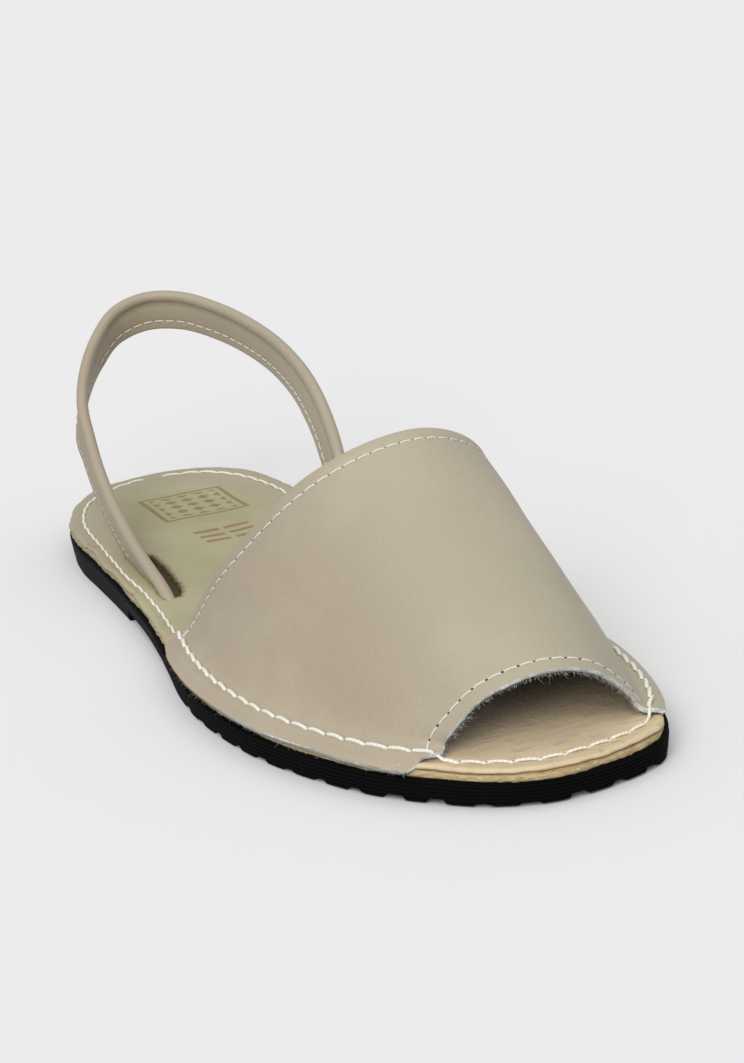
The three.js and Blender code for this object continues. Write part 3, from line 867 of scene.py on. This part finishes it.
def build_midsole():
    """Raw leather layer, seen at its edge."""
    points, normals = ring(RING_STEPS)
    stray = ragged_rim(points, 0.25, 3)
    rows, heights = [], []
    for k in range(MIDSOLE_SIDE_ROWS + 1):
        share = k / MIDSOLE_SIDE_ROWS
        rough = noise(np.column_stack([points, np.full(len(points), k * 1.5)]), 1.6, 20) * 0.09
        inset = 0.1 + 0.25 * abs(2 * share - 1) ** 3 - stray - rough
        plan = points - normals * inset[:, None]
        low = rubber_top(plan[:, 0]) + SEAM * MIDSOLE_LOW
        high = midsole_top(plan[:, 0]) + SEAM * MIDSOLE_HIGH
        rows.append(np.column_stack([plan, mix(low, high, share)]))
        heights.append(np.full(len(points), share))
    inner = points - normals * MIDSOLE_REACH
    inner_low = np.column_stack([inner, rubber_top(points[:, 0]) + SEAM * MIDSOLE_LOW])
    inner_high = np.column_stack([inner, midsole_top(points[:, 0]) + SEAM * MIDSOLE_HIGH])
    rows = [inner_low] + rows + [inner_high]
    heights = [heights[0]] + heights + [heights[-1]]
    faces = grid_faces(len(rows), len(points), wrap_columns=True, wrap_rows=True)
    piece = new_piece("leather_midsole", np.concatenate(rows), faces, [RAW], sharp=60)
    give(piece, "height", np.concatenate(heights))
    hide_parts("midsole")


# Open gap of a slot on the foot's side of the strap, from its rear end to its front
SLOT_GAP = table("share gap", [
    (0, 2.6),
    (0.08, 4),
    (0.4, 4.3),
    (0.75, 3.6),
    (0.92, 2.5),
    (1, 1.2),
])


def slot_distance(plan):
    """Distance of plan points from the rim of the nearest slot, negative inside it."""
    nearest = np.full(len(plan), 1e3)
    for line, half, inward in SLOTS:
        x = plan[:, 0]
        rear, front = line[0, 0], line[-1, 0]
        offset = (plan[:, 1] - np.interp(x, line[:, 0], line[:, 1])) * inward
        reach = np.interp(x, line[:, 0], half)
        gap = np.interp((x - rear) / (front - rear), SLOT_GAP["share"], SLOT_GAP["gap"])
        across = np.maximum(SLOT_FIT - reach - offset, offset - reach - gap)
        beyond = np.maximum(rear - x, x - front)
        outside = np.hypot(np.maximum(across, 0), np.maximum(beyond, 0))
        nearest = np.minimum(nearest, outside + np.minimum(np.maximum(across, beyond), 0))
    return nearest


def stitch_inset(plan):
    """Distance of the thick thread from the edge, beside each plan point."""
    along = plan[:, 0] / FOOTBED_LENGTH
    sides = [np.interp(along, STITCH_LINE["along"], STITCH_LINE[side]) for side in ("outer", "inner")]
    return np.where(plan[:, 1] < 0, *sides)


RIM_DROP = 0.55
RIM_ROUND = 1.1
CHANNEL_DEPTH = 0.3
CHANNEL_REACH = 0.75
WEAR_DEPTH = 0.12
SLOT_DEPTH = 1.25
HEEL_CURL = 0.7
FOOTBED_RINGS = 90
FOOTBED_SIDE_ROWS = 4


def footbed_height(plan, inset):
    """Top of the footbed: rounded rim, stitch channel, light wear, slots and a curled inner heel rim."""
    top = insole_top(plan[:, 0])
    rim = RIM_DROP * (1 - np.sqrt(np.clip(1 - (1 - np.clip(inset / RIM_ROUND, 0, 1)) ** 2, 0, 1)))
    channel = CHANNEL_DEPTH * bell(inset, stitch_inset(plan), CHANNEL_REACH)
    swell = WEAR_DEPTH * noise(plan, 24, 5) * smooth(inset, 2, 8)
    slot = SLOT_DEPTH * smooth(slot_distance(plan), 0.15, -0.55)
    curl = HEEL_CURL * smooth(plan[:, 0], 55, 15) * smooth(plan[:, 1], -4, 20) * smooth(inset, 9, 0)
    return top - rim - channel + swell - slot + curl


def build_insole():
    """Footbed with a rounded, hand-cut rim, a stitch channel and the strap's slots."""
    rows, insets, points, normals = plan_rings(RING_STEPS, FOOTBED_RINGS)
    stray = ragged_rim(points, 0.36, 9)
    built, edge, slot = [], [], []
    for k in range(FOOTBED_SIDE_ROWS):
        share = k / FOOTBED_SIDE_ROWS
        plan = rows[0] + normals * (stray - 0.12 * (1 - share) ** 2)[:, None]
        low = midsole_top(plan[:, 0]) + SEAM
        built.append(np.column_stack([plan, mix(low, footbed_height(plan, np.zeros(len(plan))), share)]))
        edge.append(np.full(len(plan), share - 1))
        slot.append(slot_distance(plan))
    for plan, inset in zip(rows, insets):
        moved = plan + normals * (stray * np.exp(-inset / 2.5))[:, None]
        depth = np.full(len(plan), inset)
        built.append(np.column_stack([moved, footbed_height(moved, depth)]))
        edge.append(depth)
        slot.append(slot_distance(moved))
    faces = grid_faces(len(built), len(points), wrap_columns=True)
    piece = new_piece("footbed", np.concatenate(built), faces, [FOOTBED], sharp=70)
    give(piece, "from_edge", np.concatenate(edge))
    give(piece, "from_slot", np.concatenate(slot))
    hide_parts("insole")
    return piece


def vamp_foot(side, x, inset):
    plan = edge_point(side, np.array([x]), FLANGE_WIDTH, inset)[0]
    return np.array([*plan, insole_top(plan[0]) + SEAM + VAMP_WALL])


def vamp_rails():
    rails = []
    for name, rail in VAMP_RAILS.items():
        line = []
        for i in range(len(VAMP_FEET["near"])):
            near = vamp_foot("outer", VAMP_FEET["near"][i] * FOOTBED_LENGTH, FLANGE_WIDTH)
            far = vamp_foot("inner", VAMP_FEET["far"][i] * FOOTBED_LENGTH, FLANGE_WIDTH)
            y = rail["across"][i] * BALL_WIDTH
            height = rail["up"][i] * VAMP_HEIGHT
            share = np.clip((y - near[1]) / (far[1] - near[1]), 0, 1)
            line.append([mix(near[0], far[0], share) + VAMP_FEET["lean"][i] * height, y, near[2] + height])
        rails.append(spline(line))
    return rails


RAILS = vamp_rails()

# How far the flange's raw edge hangs out and down and is cut back, on the near and on the far side
DRAPE = table("along out down back far_out far_down", [
    (0, 0.3, 0.9, 0, 0.3, 0.5),
    (0.1, 1.2, 2, 0, 0.9, 1),
    (0.75, 1.2, 2, 0, 1, 1.1),
    (1, 1.3, 3, 4.3, 0.5, 0.8),
])


def vamp_section(share, spots):
    """Outer line of the vamp at a share of its length, from flange edge to flange edge."""
    place = share * (len(VAMP_FEET["near"]) - 1)
    bend = FLANGE_WIDTH - VAMP_WALL
    rise = np.array([0, 0, VAMP_WALL * 0.8])
    drape = {name: np.interp(share, DRAPE["along"], DRAPE[name]) for name in DRAPE}

    def flange(side, x, out, down, back):
        line = [
            (-out, down, 1),
            (-0.35, down * 0.8, 0.82),
            (0.7, down * 0.28, 0.6),
            (bend / 2, 0.05, 0.37),
            (bend, 0, 0),
        ]
        points = []
        for inset, drop, cut in line:
            points.append(vamp_foot(side, x - back * cut, inset) - np.array([0, 0, drop]))
        return [*points, vamp_foot(side, x, FLANGE_WIDTH) + rise]

    knots = np.arange(len(VAMP_FEET["near"]))
    near_x = FOOTBED_LENGTH * np.interp(place, knots, VAMP_FEET["near"])
    far_x = FOOTBED_LENGTH * np.interp(place, knots, VAMP_FEET["far"])
    near = flange("outer", near_x, drape["out"], drape["down"], drape["back"])
    far = flange("inner", far_x, drape["far_out"], drape["far_down"], 0)[::-1]
    middle = [rail(share) for rail in RAILS]
    return spline([*near, *middle, *far])(spots)


# Steps between the points of a vamp section: four spans of a flange, eight of the wall, four of a flange
VAMP_SPLITS = [4, 4, 3, 3, 7, 22, 18, 22, 22, 18, 22, 7, 3, 3, 4, 4]
FLANGE_COLUMNS = sum(VAMP_SPLITS[:4])


def vamp_spots():
    spots = [(k + i / n) / len(VAMP_SPLITS) for k, n in enumerate(VAMP_SPLITS) for i in range(n)]
    return np.array([*spots, 1])


REAR_FINE = 8
TOE_FINE = 6
FINE_STEP = 0.45
MIDDLE_STATIONS = 50


def vamp_stations():
    """Shares of the vamp's length, close together at both edges."""
    length = FOOTBED_LENGTH * (VAMP_FEET["near"][-1] - VAMP_FEET["near"][0])
    rear = np.arange(0, REAR_FINE, FINE_STEP)
    front = length - np.arange(0, TOE_FINE, FINE_STEP)[::-1]
    middle = np.linspace(REAR_FINE, length - TOE_FINE, MIDDLE_STATIONS)[:-1]
    return np.concatenate([rear, middle, front]) / length


def surface_normals(grid):
    along = np.gradient(grid, axis=0)
    across = np.gradient(grid, axis=1)
    return unit(np.cross(along, across))


# Heights and depths of the relief on the vamp's face
HEM_SWELL = 0.16
HEM_SEAM = 0.2
TOE_SEAM = 0.13
TOE_LIP = 0.12
SOFT_CREASE = 0.16


class Sheet:
    """The vamp's outer face as a grid of points with normals and distances from its two edges."""

    def __init__(self):
        self.spots = vamp_spots()
        base = np.stack([vamp_section(share, self.spots) for share in vamp_stations()])
        steps = np.linalg.norm(np.diff(base, axis=0), axis=2)
        run = np.concatenate([np.zeros((1, base.shape[1])), np.cumsum(steps, axis=0)])
        self.from_rear = run
        self.from_toe = run[-1] - run
        self.base = base
        self.normals = surface_normals(base)
        self.points = base + self.normals * self.relief()[..., None]

    def relief(self):
        """How far the face stands out: the turned hem, the two stitch lines and soft creases."""
        rear, toe = self.from_rear, self.from_toe
        hem = HEM_SWELL * np.sin(np.clip(rear / HEM_STITCH_DEPTH, 0, 1) * math.pi)
        seam = -HEM_SEAM * bell(rear, HEM_STITCH_DEPTH, 0.6)
        rim = -TOE_SEAM * bell(toe, TOE_STITCH_DEPTH, 0.5)
        lip = TOE_LIP * bell(toe, 0, 1.2)
        flat = self.base.reshape(-1, 3)
        soft = noise(flat, 34, 31).reshape(rear.shape) * SOFT_CREASE * smooth(self.base[..., 2], 10, 16)
        return hem + seam + rim + lip + soft

    def line(self, distance, depth):
        """Polyline and normals across the vamp where a distance grid equals depth, one point per column."""
        points, normals = [], []
        for j in range(self.points.shape[1]):
            along = distance[:, j]
            order = np.argsort(along)
            place = np.interp(depth, along[order], order.astype(float))
            points.append(pick(self.points[:, j], np.array([place]))[0])
            normals.append(pick(self.normals[:, j], np.array([place]))[0])
        return np.array(points), unit(np.array(normals))


SHEET = Sheet()
ROLL_STEPS = 7
CUT_STEPS = 5


def build_vamp():
    """One-piece vamp: outer face, rolled rear hem, inside, raw toe edge and raw flange edges."""
    outer = SHEET.points
    stations, columns = outer.shape[:2]
    on_wall = smooth(SHEET.base[..., 2], 10.5, 12.5)
    hem = HEM_EXTRA * (1 - smooth(SHEET.from_rear, HEM_DEPTH, HEM_DEPTH + 0.8)) * on_wall
    from_side = np.minimum(np.arange(columns), np.arange(columns)[::-1])
    skived = mix(0.85, 1, smooth(from_side, 4, 11)) * mix(0.78, 1, smooth(SHEET.from_toe, 0, 4))
    thickness = (VAMP_WALL + hem) * skived
    inner = outer - SHEET.normals * thickness[..., None]
    backward = unit(SHEET.base[0] - SHEET.base[1])
    forward = unit(SHEET.base[-1] - SHEET.base[-2])
    rows = list(outer[::-1])
    radius = thickness[0] / 2
    middle = (outer[0] + inner[0]) / 2
    for k in range(1, ROLL_STEPS):
        angle = math.pi * k / ROLL_STEPS
        swing = SHEET.normals[0] * math.cos(angle) + backward * math.sin(angle) * 0.9
        rows.append(middle + swing * radius[:, None])
    materials = [0] * len(rows)
    rows += list(inner)
    materials += [0 if run.mean() < HEM_DEPTH + HEM_EXTRA else 1 for run in SHEET.from_rear]
    fray = noise(outer[-1], 2.2, 41) * 0.16 + noise(outer[-1], 0.8, 42) * 0.1
    for k in range(CUT_STEPS + 1):
        share = k / CUT_STEPS
        swell = 0.25 * math.sin(math.pi * share) + fray * math.sin(math.pi * share)
        rows.append(mix(inner[-1], outer[-1], share) + forward * swell[:, None])
        materials.append(2)
    vertices = np.concatenate(rows)
    faces = grid_faces(len(rows), columns, wrap_rows=True)
    face_material = np.repeat(materials, columns - 1)
    pairs = [(stations - 1 - i, stations - 1 + ROLL_STEPS + i) for i in range(stations)]
    extra, cut_faces = [], []
    for column, beside, flip in ((0, 1, False), (columns - 1, columns - 2, True)):
        strip = []
        for number, (a, b) in enumerate(pairs):
            top, low = vertices[a * columns + column], vertices[b * columns + column]
            out = unit(SHEET.base[number][column] - SHEET.base[number][beside])
            start = len(vertices) + len(extra)
            wobble = 0.12 + 0.1 * chance.normal(size=3)
            extra += [mix(top, low, s) + out * wobble[n] for n, s in enumerate((0.2, 0.5, 0.8))]
            strip.append([a * columns + column, start, start + 1, start + 2, b * columns + column])
        for first, second in zip(strip[:-1], strip[1:]):
            for n in range(4):
                quad = [first[n], second[n], second[n + 1], first[n + 1]]
                cut_faces.append(quad[::-1] if flip else quad)
    vertices = np.concatenate([vertices, extra])
    faces = np.concatenate([faces, cut_faces])
    face_material = np.concatenate([face_material, np.full(len(cut_faces), 2)])
    piece = new_piece("vamp_leather", vertices, faces, [UPPER, FLESH, CUT], face_material, sharp=55)
    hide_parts("vamp")
    return piece


STRAP_PATH = spline(np.column_stack([
    STRAP["along"] * FOOTBED_LENGTH,
    STRAP["across"] * BALL_WIDTH,
    insole_top(STRAP["along"] * FOOTBED_LENGTH) + STRAP["up"] * STRAP_RISE,
]))
STRAP_ROWS = 420


def strap_frame():
    """Path of the strap's ridge, the direction of the band below it and the way that its inner face looks."""
    share = np.linspace(0, 1, STRAP_ROWS + 1)
    path = STRAP_PATH(share)
    tangent = unit(np.gradient(path, axis=0))
    lean = np.interp(share * (len(STRAP["lean"]) - 1), np.arange(len(STRAP["lean"])), STRAP["lean"])
    down = unit(np.array([0, 0, -1]) + tangent * tangent[:, 2:])
    outward = np.cross(tangent, down)
    band = down * np.cos(lean)[:, None] + outward * np.sin(lean)[:, None]
    return path, band, np.cross(tangent, band)


STRAP_LINE, STRAP_BAND, STRAP_FACE = strap_frame()
STRAP_DEPTH = STRAP_WIDTH - RIDGE_RADIUS


def strap_profile():
    """Folded leather round a cord: round ridge, neck, flat band with a stitch line, doubled lower edge."""
    half = STRAP_THICKNESS / 2
    turn = np.linspace(math.radians(42), math.radians(318), 23)
    ridge = np.column_stack([RIDGE_RADIUS * np.cos(turn), RIDGE_RADIUS * np.sin(turn)])
    down = np.linspace(RIDGE_RADIUS * 1.25, STRAP_DEPTH - 0.35, 19)[1:]
    stitch = STRAP_DEPTH - STRAP_STITCH_INSET
    swell = 0.1 * bell(down, 5, 3)
    seam = 0.16 * bell(down, stitch, 0.5)
    neck = 0.18 * bell(down, 2.1, 1.1)
    width = half - 0.12 + swell - seam - neck
    lower = [[STRAP_DEPTH - 0.1, -half * 0.72], [STRAP_DEPTH, -half * 0.35], [STRAP_DEPTH - 0.22, 0]]
    lower += [[a, -b] for a, b in lower[1::-1]]
    one = np.column_stack([down, -width])
    other = np.column_stack([down, width])[::-1]
    return np.concatenate([ridge, one, lower, other])


def strap_grid():
    profile = strap_profile()[None]
    below = STRAP_BAND[:, None] * profile[..., :1]
    beside = STRAP_FACE[:, None] * profile[..., 1:]
    return STRAP_LINE[:, None] + below + beside


def find_slots():
    """Where the strap's two ends pass the footbed's face: middle line, half thickness and way to the foot."""
    depth = (STRAP_LINE[:, 2] - insole_top(STRAP_LINE[:, 0])) / -STRAP_BAND[:, 2]
    middle = STRAP_LINE + STRAP_BAND * np.maximum(depth, 0)[:, None]
    half = mix(RIDGE_RADIUS, STRAP_THICKNESS / 2, smooth(depth, 0.8, 2.6))
    slots = []
    for inward, leg in ((1, slice(0, STRAP_ROWS // 2)), (-1, slice(STRAP_ROWS // 2, None))):
        passing = (depth[leg] > -RIDGE_RADIUS * 0.8) & (depth[leg] < STRAP_DEPTH)
        order = np.argsort(middle[leg][passing][:, 0])
        slots.append((middle[leg][passing][order], half[leg][passing][order], inward))
    return slots


SLOTS = find_slots()


def build_strap():
    """The heel strap, its two feet cut off just inside the midsole's face."""
    grid = strap_grid()
    grid[..., 2] = np.maximum(grid[..., 2], midsole_top(grid[..., 0]) - SEAM)
    faces = grid_faces(grid.shape[0], grid.shape[1], wrap_columns=True)
    piece = new_piece("heel_strap_leather", grid.reshape(-1, 3), faces, [UPPER], sharp=60)
    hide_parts("heel_strap")


def stitches(name, points, normals, pitch, fill, radius, arch, slant=0.0, finish=THREAD):
    """Row of thread stitches along a line on a surface. Gives the places and normals of their holes."""
    radius, arch = (np.broadcast_to(np.asarray(values, float), len(points)) for values in (radius, arch))
    lengths = np.concatenate([[0], np.cumsum(np.linalg.norm(np.diff(points, axis=0), axis=1))])
    angle = np.linspace(0, 2 * math.pi, STITCH_SIDES, endpoint=False)
    share = np.linspace(0, 1, STITCH_STEPS + 1)
    vertices, faces, along, around, holes, hole_normals = [], [], [], [], [], []
    for k in range(int(lengths[-1] // pitch)):
        start = (k + (1 - fill) / 2) * pitch
        stop = start + fill * pitch * chance.uniform(0.96, 1.03)
        if stop > lengths[-1]:
            break
        place = np.interp(np.linspace(start, stop, STITCH_STEPS + 1), lengths, np.arange(len(lengths)))
        line, normal = pick(points, place), unit(pick(normals, place))
        girth, bow = pick(radius, place[:1])[0], pick(arch, place[:1])[0]
        tangent = unit(np.gradient(line, axis=0))
        side = unit(np.cross(normal, tangent))
        rise = girth * 1.1 + bow * chance.uniform(0.7, 1.2)
        lift = -0.5 * girth + rise * np.sin(math.pi * share) ** 0.5
        sway = slant * girth * (share - 0.5) + chance.normal() * girth * 0.1
        centre = line + normal * lift[:, None] + side * sway[:, None]
        swell = girth * (0.8 + 0.2 * np.sin(math.pi * share) ** 0.4)
        base = len(vertices) * STITCH_SIDES
        for i in range(STITCH_STEPS + 1):
            offset = np.cos(angle)[:, None] * side[i] + np.sin(angle)[:, None] * normal[i] * 0.85
            vertices.append(centre[i] + offset * swell[i])
            along.append(np.full(STITCH_SIDES, share[i]))
            around.append(angle / (2 * math.pi))
        faces.append(grid_faces(STITCH_STEPS + 1, STITCH_SIDES, wrap_columns=True) + base)
        holes += [line[0] - side[0] * slant * girth * 0.9, line[-1]]
        hole_normals += [normal[0], normal[-1]]
    piece = new_piece(name, np.concatenate(vertices), np.concatenate(faces), [finish])
    give(piece, "along", np.concatenate(along))
    give(piece, "around", np.concatenate(around))
    return np.array(holes), np.array(hole_normals)


def pinholes(name, places, normals, radius):
    """Painted shade of the holes where the needle went through: small dark, low lens-shaped spots on the
    surface.
    """
    sides, rings, depth = 10, 3, 0.35
    angle = np.linspace(0, 2 * math.pi, sides, endpoint=False)
    vertices, faces = [], []
    for place, normal in zip(places, normals):
        aside = unit(np.cross(normal, [0.3, 0.9, 0.2]))
        ahead = np.cross(normal, aside)
        size = radius * chance.uniform(0.8, 1.15)
        rim = np.cos(angle)[:, None] * aside + np.sin(angle)[:, None] * ahead
        base = len(vertices) * sides
        for r in range(rings + 1):
            spread = math.cos(math.pi / 2 * r / rings) * size
            height = math.sin(math.pi / 2 * r / rings) * size * depth
            vertices.append(place + rim * max(spread, 1e-3) + normal * (height - 0.02))
        faces.append(grid_faces(rings + 1, sides, wrap_columns=True) + base)
    new_piece(name, np.concatenate(vertices), np.concatenate(faces), [HOLE])


def tree_of(piece):
    mesh = piece.data
    return BVHTree.FromPolygons([v.co for v in mesh.vertices], [p.vertices for p in mesh.polygons])


def dropped(plan, trees):
    """Plan points lowered on to the uppermost of some pieces: points and normals."""
    points, normals = [], []
    for x, y in plan:
        start = Vector(to_row([x, y, 90]))
        hits = [tree.ray_cast(start, Vector((0, 0, -1))) for tree in trees]
        hits = [hit for hit in hits if hit[0] is not None]
        where, normal = max(hits, key=lambda hit: hit[0].z)[:2]
        points.append((np.array(where) - ORIGIN) / MM)
        normals.append(np.array(normal if normal.z > 0 else -normal))
    return np.array(points), unit(np.array(normals))


def softened(points, normals):
    """A line with its jumps at steps in the surface rounded off."""
    reach = 2
    kernel = np.ones(2 * reach + 1) / (2 * reach + 1)

    def blur(values):
        padded = np.concatenate([values[-reach:], values, values[:reach]])
        return np.stack([np.convolve(padded[:, k], kernel, "valid") for k in range(3)], 1)

    return blur(points), unit(blur(normals))


def build_sole_stitching(vamp, insole):
    """Thick white thread all round, through the vamp's flange where it lies on the footbed."""
    points, normals = ring(700)
    plan = points - normals * stitch_inset(points)[:, None]
    places, facing = dropped(plan, [tree_of(vamp), tree_of(insole)])
    on_flange = smooth(places[:, 2] - insole_top(places[:, 0]), 0.7, 1.2)
    places, facing = softened(places, facing)
    radius = mix(SOLE_THREAD, FLANGE_THREAD, on_flange)
    arch = mix(0, 0.3, smooth(places[:, 0], 228, 240))
    holes, hole_normals = stitches("sole_stitching", places, facing, SOLE_STITCH_PITCH, SOLE_STITCH_FILL,
                                   radius, arch, slant=SOLE_STITCH_SLANT)
    front = holes[:, 0] > SOLE_HOLES_FROM
    pinholes("sole_stitch_holes", holes[front], hole_normals[front], SOLE_HOLE)


def build_vamp_stitching():
    """Fine thread along the hem and along the toe opening."""
    for name, distance, depth, pitch, fill, hole in (
            ("hem_stitching", SHEET.from_rear, HEM_STITCH_DEPTH, HEM_STITCH_PITCH, 0.82, 0.2),
            ("toe_stitching", SHEET.from_toe, TOE_STITCH_DEPTH, TOE_STITCH_PITCH, 0.78, 0.27)):
        points, normals = SHEET.line(distance, depth)
        keep = slice(FLANGE_COLUMNS - 1, 1 - FLANGE_COLUMNS)
        holes, hole_normals = stitches(name, points[keep], normals[keep], pitch, fill, FINE_THREAD, 0)
        middle = (holes[1:-1:2] + holes[2::2]) / 2
        middle_normals = unit(hole_normals[1:-1:2] + hole_normals[2::2])
        pinholes(name + "_holes", middle, middle_normals, hole)


def build_strap_stitching():
    """Fine thread near the lower edge of the band, on both of its faces."""
    depth = STRAP_DEPTH - STRAP_STITCH_INSET
    half = STRAP_THICKNESS / 2 - 0.16
    line = STRAP_LINE + STRAP_BAND * depth
    clear = line[:, 2] > insole_top(line[:, 0]) + 1
    faces = (("strap_stitching_outside", 1, LOOPER), ("strap_stitching_inside", -1, THREAD))
    for name, way, finish in faces:
        points = (line + STRAP_FACE * half * way)[clear]
        normals = (STRAP_FACE * way)[clear]
        stitches(name, points, normals, STRAP_STITCH_PITCH, 0.74, FINE_THREAD, 0.03, finish=finish)


FIBRE_RADIUS = 0.048
FIBRE_SWAY = 0.8
FIBRE_DROOP = 0.3
FIBRE_STRAY = 0.3
FIBRE_CURL = 0.35
FIBRE_STEPS = 3


def fibres(name, places, out, along, count, length):
    """Loose leather fibres that stand off a raw edge, each a thin curved spike with three sides."""
    corners = np.array([0, 2.1, 4.2])
    vertices, faces = [], []
    lengths = np.concatenate([[0], np.cumsum(np.linalg.norm(np.diff(places, axis=0), axis=1))])
    for _ in range(count):
        spot = np.array([np.interp(chance.uniform(0, lengths[-1]), lengths, np.arange(len(lengths)))])
        root, away, side = pick(places, spot)[0], unit(pick(out, spot))[0], unit(pick(along, spot))[0]
        root = root + chance.normal(size=3) * 0.25
        sway = side * chance.normal() * FIBRE_SWAY
        droop = np.array([0, 0, -FIBRE_DROOP])
        direction = unit(away + sway + droop + chance.normal(size=3) * FIBRE_STRAY)
        curl = chance.normal(size=3) * FIBRE_CURL
        reach = length * chance.uniform(0.3, 1.2) * (2 if chance.uniform() < 0.04 else 1)
        aside = unit(np.cross(direction, [0.2, 0.1, 1]))
        up = np.cross(direction, aside)
        rim = np.cos(corners)[:, None] * aside + np.sin(corners)[:, None] * up
        base = len(vertices) * len(corners)
        for k in range(FIBRE_STEPS + 1):
            share = k / FIBRE_STEPS
            centre = root + direction * reach * share + curl * reach * share**2
            vertices.append(centre + rim * (FIBRE_RADIUS * (1 - share * 0.85)))
        faces.append(grid_faces(FIBRE_STEPS + 1, len(corners), wrap_columns=True) + base)
    piece = new_piece(name, np.concatenate(vertices), np.concatenate(faces), [CUT])


def build_fibres():
    """Fuzz on the toe opening's raw edge and on the flange's raw edge."""
    low = SHEET.points[-1] - SHEET.normals[-1] * VAMP_WALL * 0.8
    forward = unit(SHEET.base[-1] - SHEET.base[-2])
    along = np.gradient(low, axis=0)
    wall = slice(FLANGE_COLUMNS, -FLANGE_COLUMNS)
    away = forward - SHEET.normals[-1] * 0.8
    fibres("toe_edge_fibres", low[wall], away[wall], along[wall], 600, 0.65)
    edge = SHEET.points[:, 0] - SHEET.normals[:, 0] * VAMP_WALL * 0.6
    out = unit(SHEET.points[:, 0] - SHEET.points[:, 2])
    fibres("flange_edge_fibres", edge, out, np.gradient(edge, axis=0), 260, 0.6)


build_outsole()
build_midsole()
insole = build_insole()
vamp = build_vamp()
build_strap()
build_sole_stitching(vamp, insole)
build_vamp_stitching()
build_strap_stitching()
build_fibres()


# Camera at the photograph's place, from a fit of the sandal's outline
PHOTO_WIDTH = 744
PHOTO_HEIGHT = 1063
CAMERA_PLACE = (674.82, -213.81, 203.81)
CAMERA_FORWARD = (-0.88982, 0.34602, -0.29746)
CAMERA_ROLL = -0.0934
FOCAL_PIXELS = 2628.5
OPTICAL_AXIS_PIXEL = (309.16, 548.35)
SENSOR = 36


def place_camera():
    data = bpy.data.cameras.new("camera")
    data.sensor_width = SENSOR
    data.lens = FOCAL_PIXELS * SENSOR / PHOTO_HEIGHT
    data.shift_x = (PHOTO_WIDTH / 2 - OPTICAL_AXIS_PIXEL[0]) / PHOTO_HEIGHT
    data.shift_y = (OPTICAL_AXIS_PIXEL[1] - PHOTO_HEIGHT / 2) / PHOTO_HEIGHT
    data.clip_start, data.clip_end = 0.02, 50
    forward = Vector(CAMERA_FORWARD).normalized()
    level_right = forward.cross(Vector((0, 0, 1))).normalized()
    level_up = level_right.cross(forward)
    right = level_right * math.cos(CAMERA_ROLL) + level_up * math.sin(CAMERA_ROLL)
    up = level_up * math.cos(CAMERA_ROLL) - level_right * math.sin(CAMERA_ROLL)
    camera = bpy.data.objects.new("camera", data)
    turn = Matrix((right, up, -forward)).transposed().to_4x4()
    camera.matrix_world = Matrix.Translation(Vector(to_row(CAMERA_PLACE))) @ turn
    bpy.context.scene.collection.objects.link(camera)
    bpy.context.scene.camera = camera


def lamp(name, came_from, strength, spread):
    """Soft light from afar, out of a direction."""
    data = bpy.data.lights.new(name, "SUN")
    data.energy, data.angle = strength, math.radians(spread)
    light = bpy.data.objects.new(name, data)
    light.rotation_euler = (-Vector(came_from)).to_track_quat("-Z", "Y").to_euler()
    bpy.context.scene.collection.objects.link(light)


SKY_LOW = 0.08
SKY_HIGH = 0.54
SKY_FROM = -0.3
SKY_TO = 0.05
FLOOR_REACH = 30
FLOOR_PAPER = from_screen(243, 243, 243)


def build_studio():
    """Pale floor, a sky that darkens below the horizon, and two soft lamps."""
    mesh = bpy.data.meshes.new("floor")
    corners = [(x * FLOOR_REACH, y * FLOOR_REACH, 0) for x, y in ((-1, -1), (1, -1), (1, 1), (-1, 1))]
    mesh.from_pydata(corners, [], [(0, 1, 2, 3)])
    f = Finish("floor_paper")
    mesh.materials.append(f.set(Base_Color=FLOOR_PAPER, Roughness=0.9, Specular_IOR_Level=0.1))
    floor = bpy.data.objects.new("floor", mesh)
    bpy.context.scene.collection.objects.link(floor)
    floor.visible_diffuse = False
    world = bpy.data.worlds.new("studio")
    world.use_nodes = True
    tree = world.node_tree
    place = tree.nodes.new("ShaderNodeTexCoord")
    parts = tree.nodes.new("ShaderNodeSeparateXYZ")
    shade = tree.nodes.new("ShaderNodeMapRange")
    for socket, value in enumerate((SKY_FROM, SKY_TO, SKY_LOW, SKY_HIGH), 1):
        shade.inputs[socket].default_value = value
    tree.links.new(place.outputs["Generated"], parts.inputs[0])
    tree.links.new(parts.outputs["Z"], shade.inputs["Value"])
    tree.links.new(shade.outputs[0], tree.nodes["Background"].inputs["Strength"])
    tree.nodes["Background"].inputs["Color"].default_value = (1, 1, 1, 1)
    bpy.context.scene.world = world
    lamp("front_softbox", (0.75, -0.58, 0.72), 1.75, 40)
    lamp("top_softbox", (0, 0, 1), 0.2, 60)
    scene = bpy.context.scene
    scene.view_settings.view_transform = "Standard"
    scene.view_settings.look = "None"
    scene.view_settings.exposure = 0
    scene.view_settings.gamma = 1


place_camera()
build_studio()
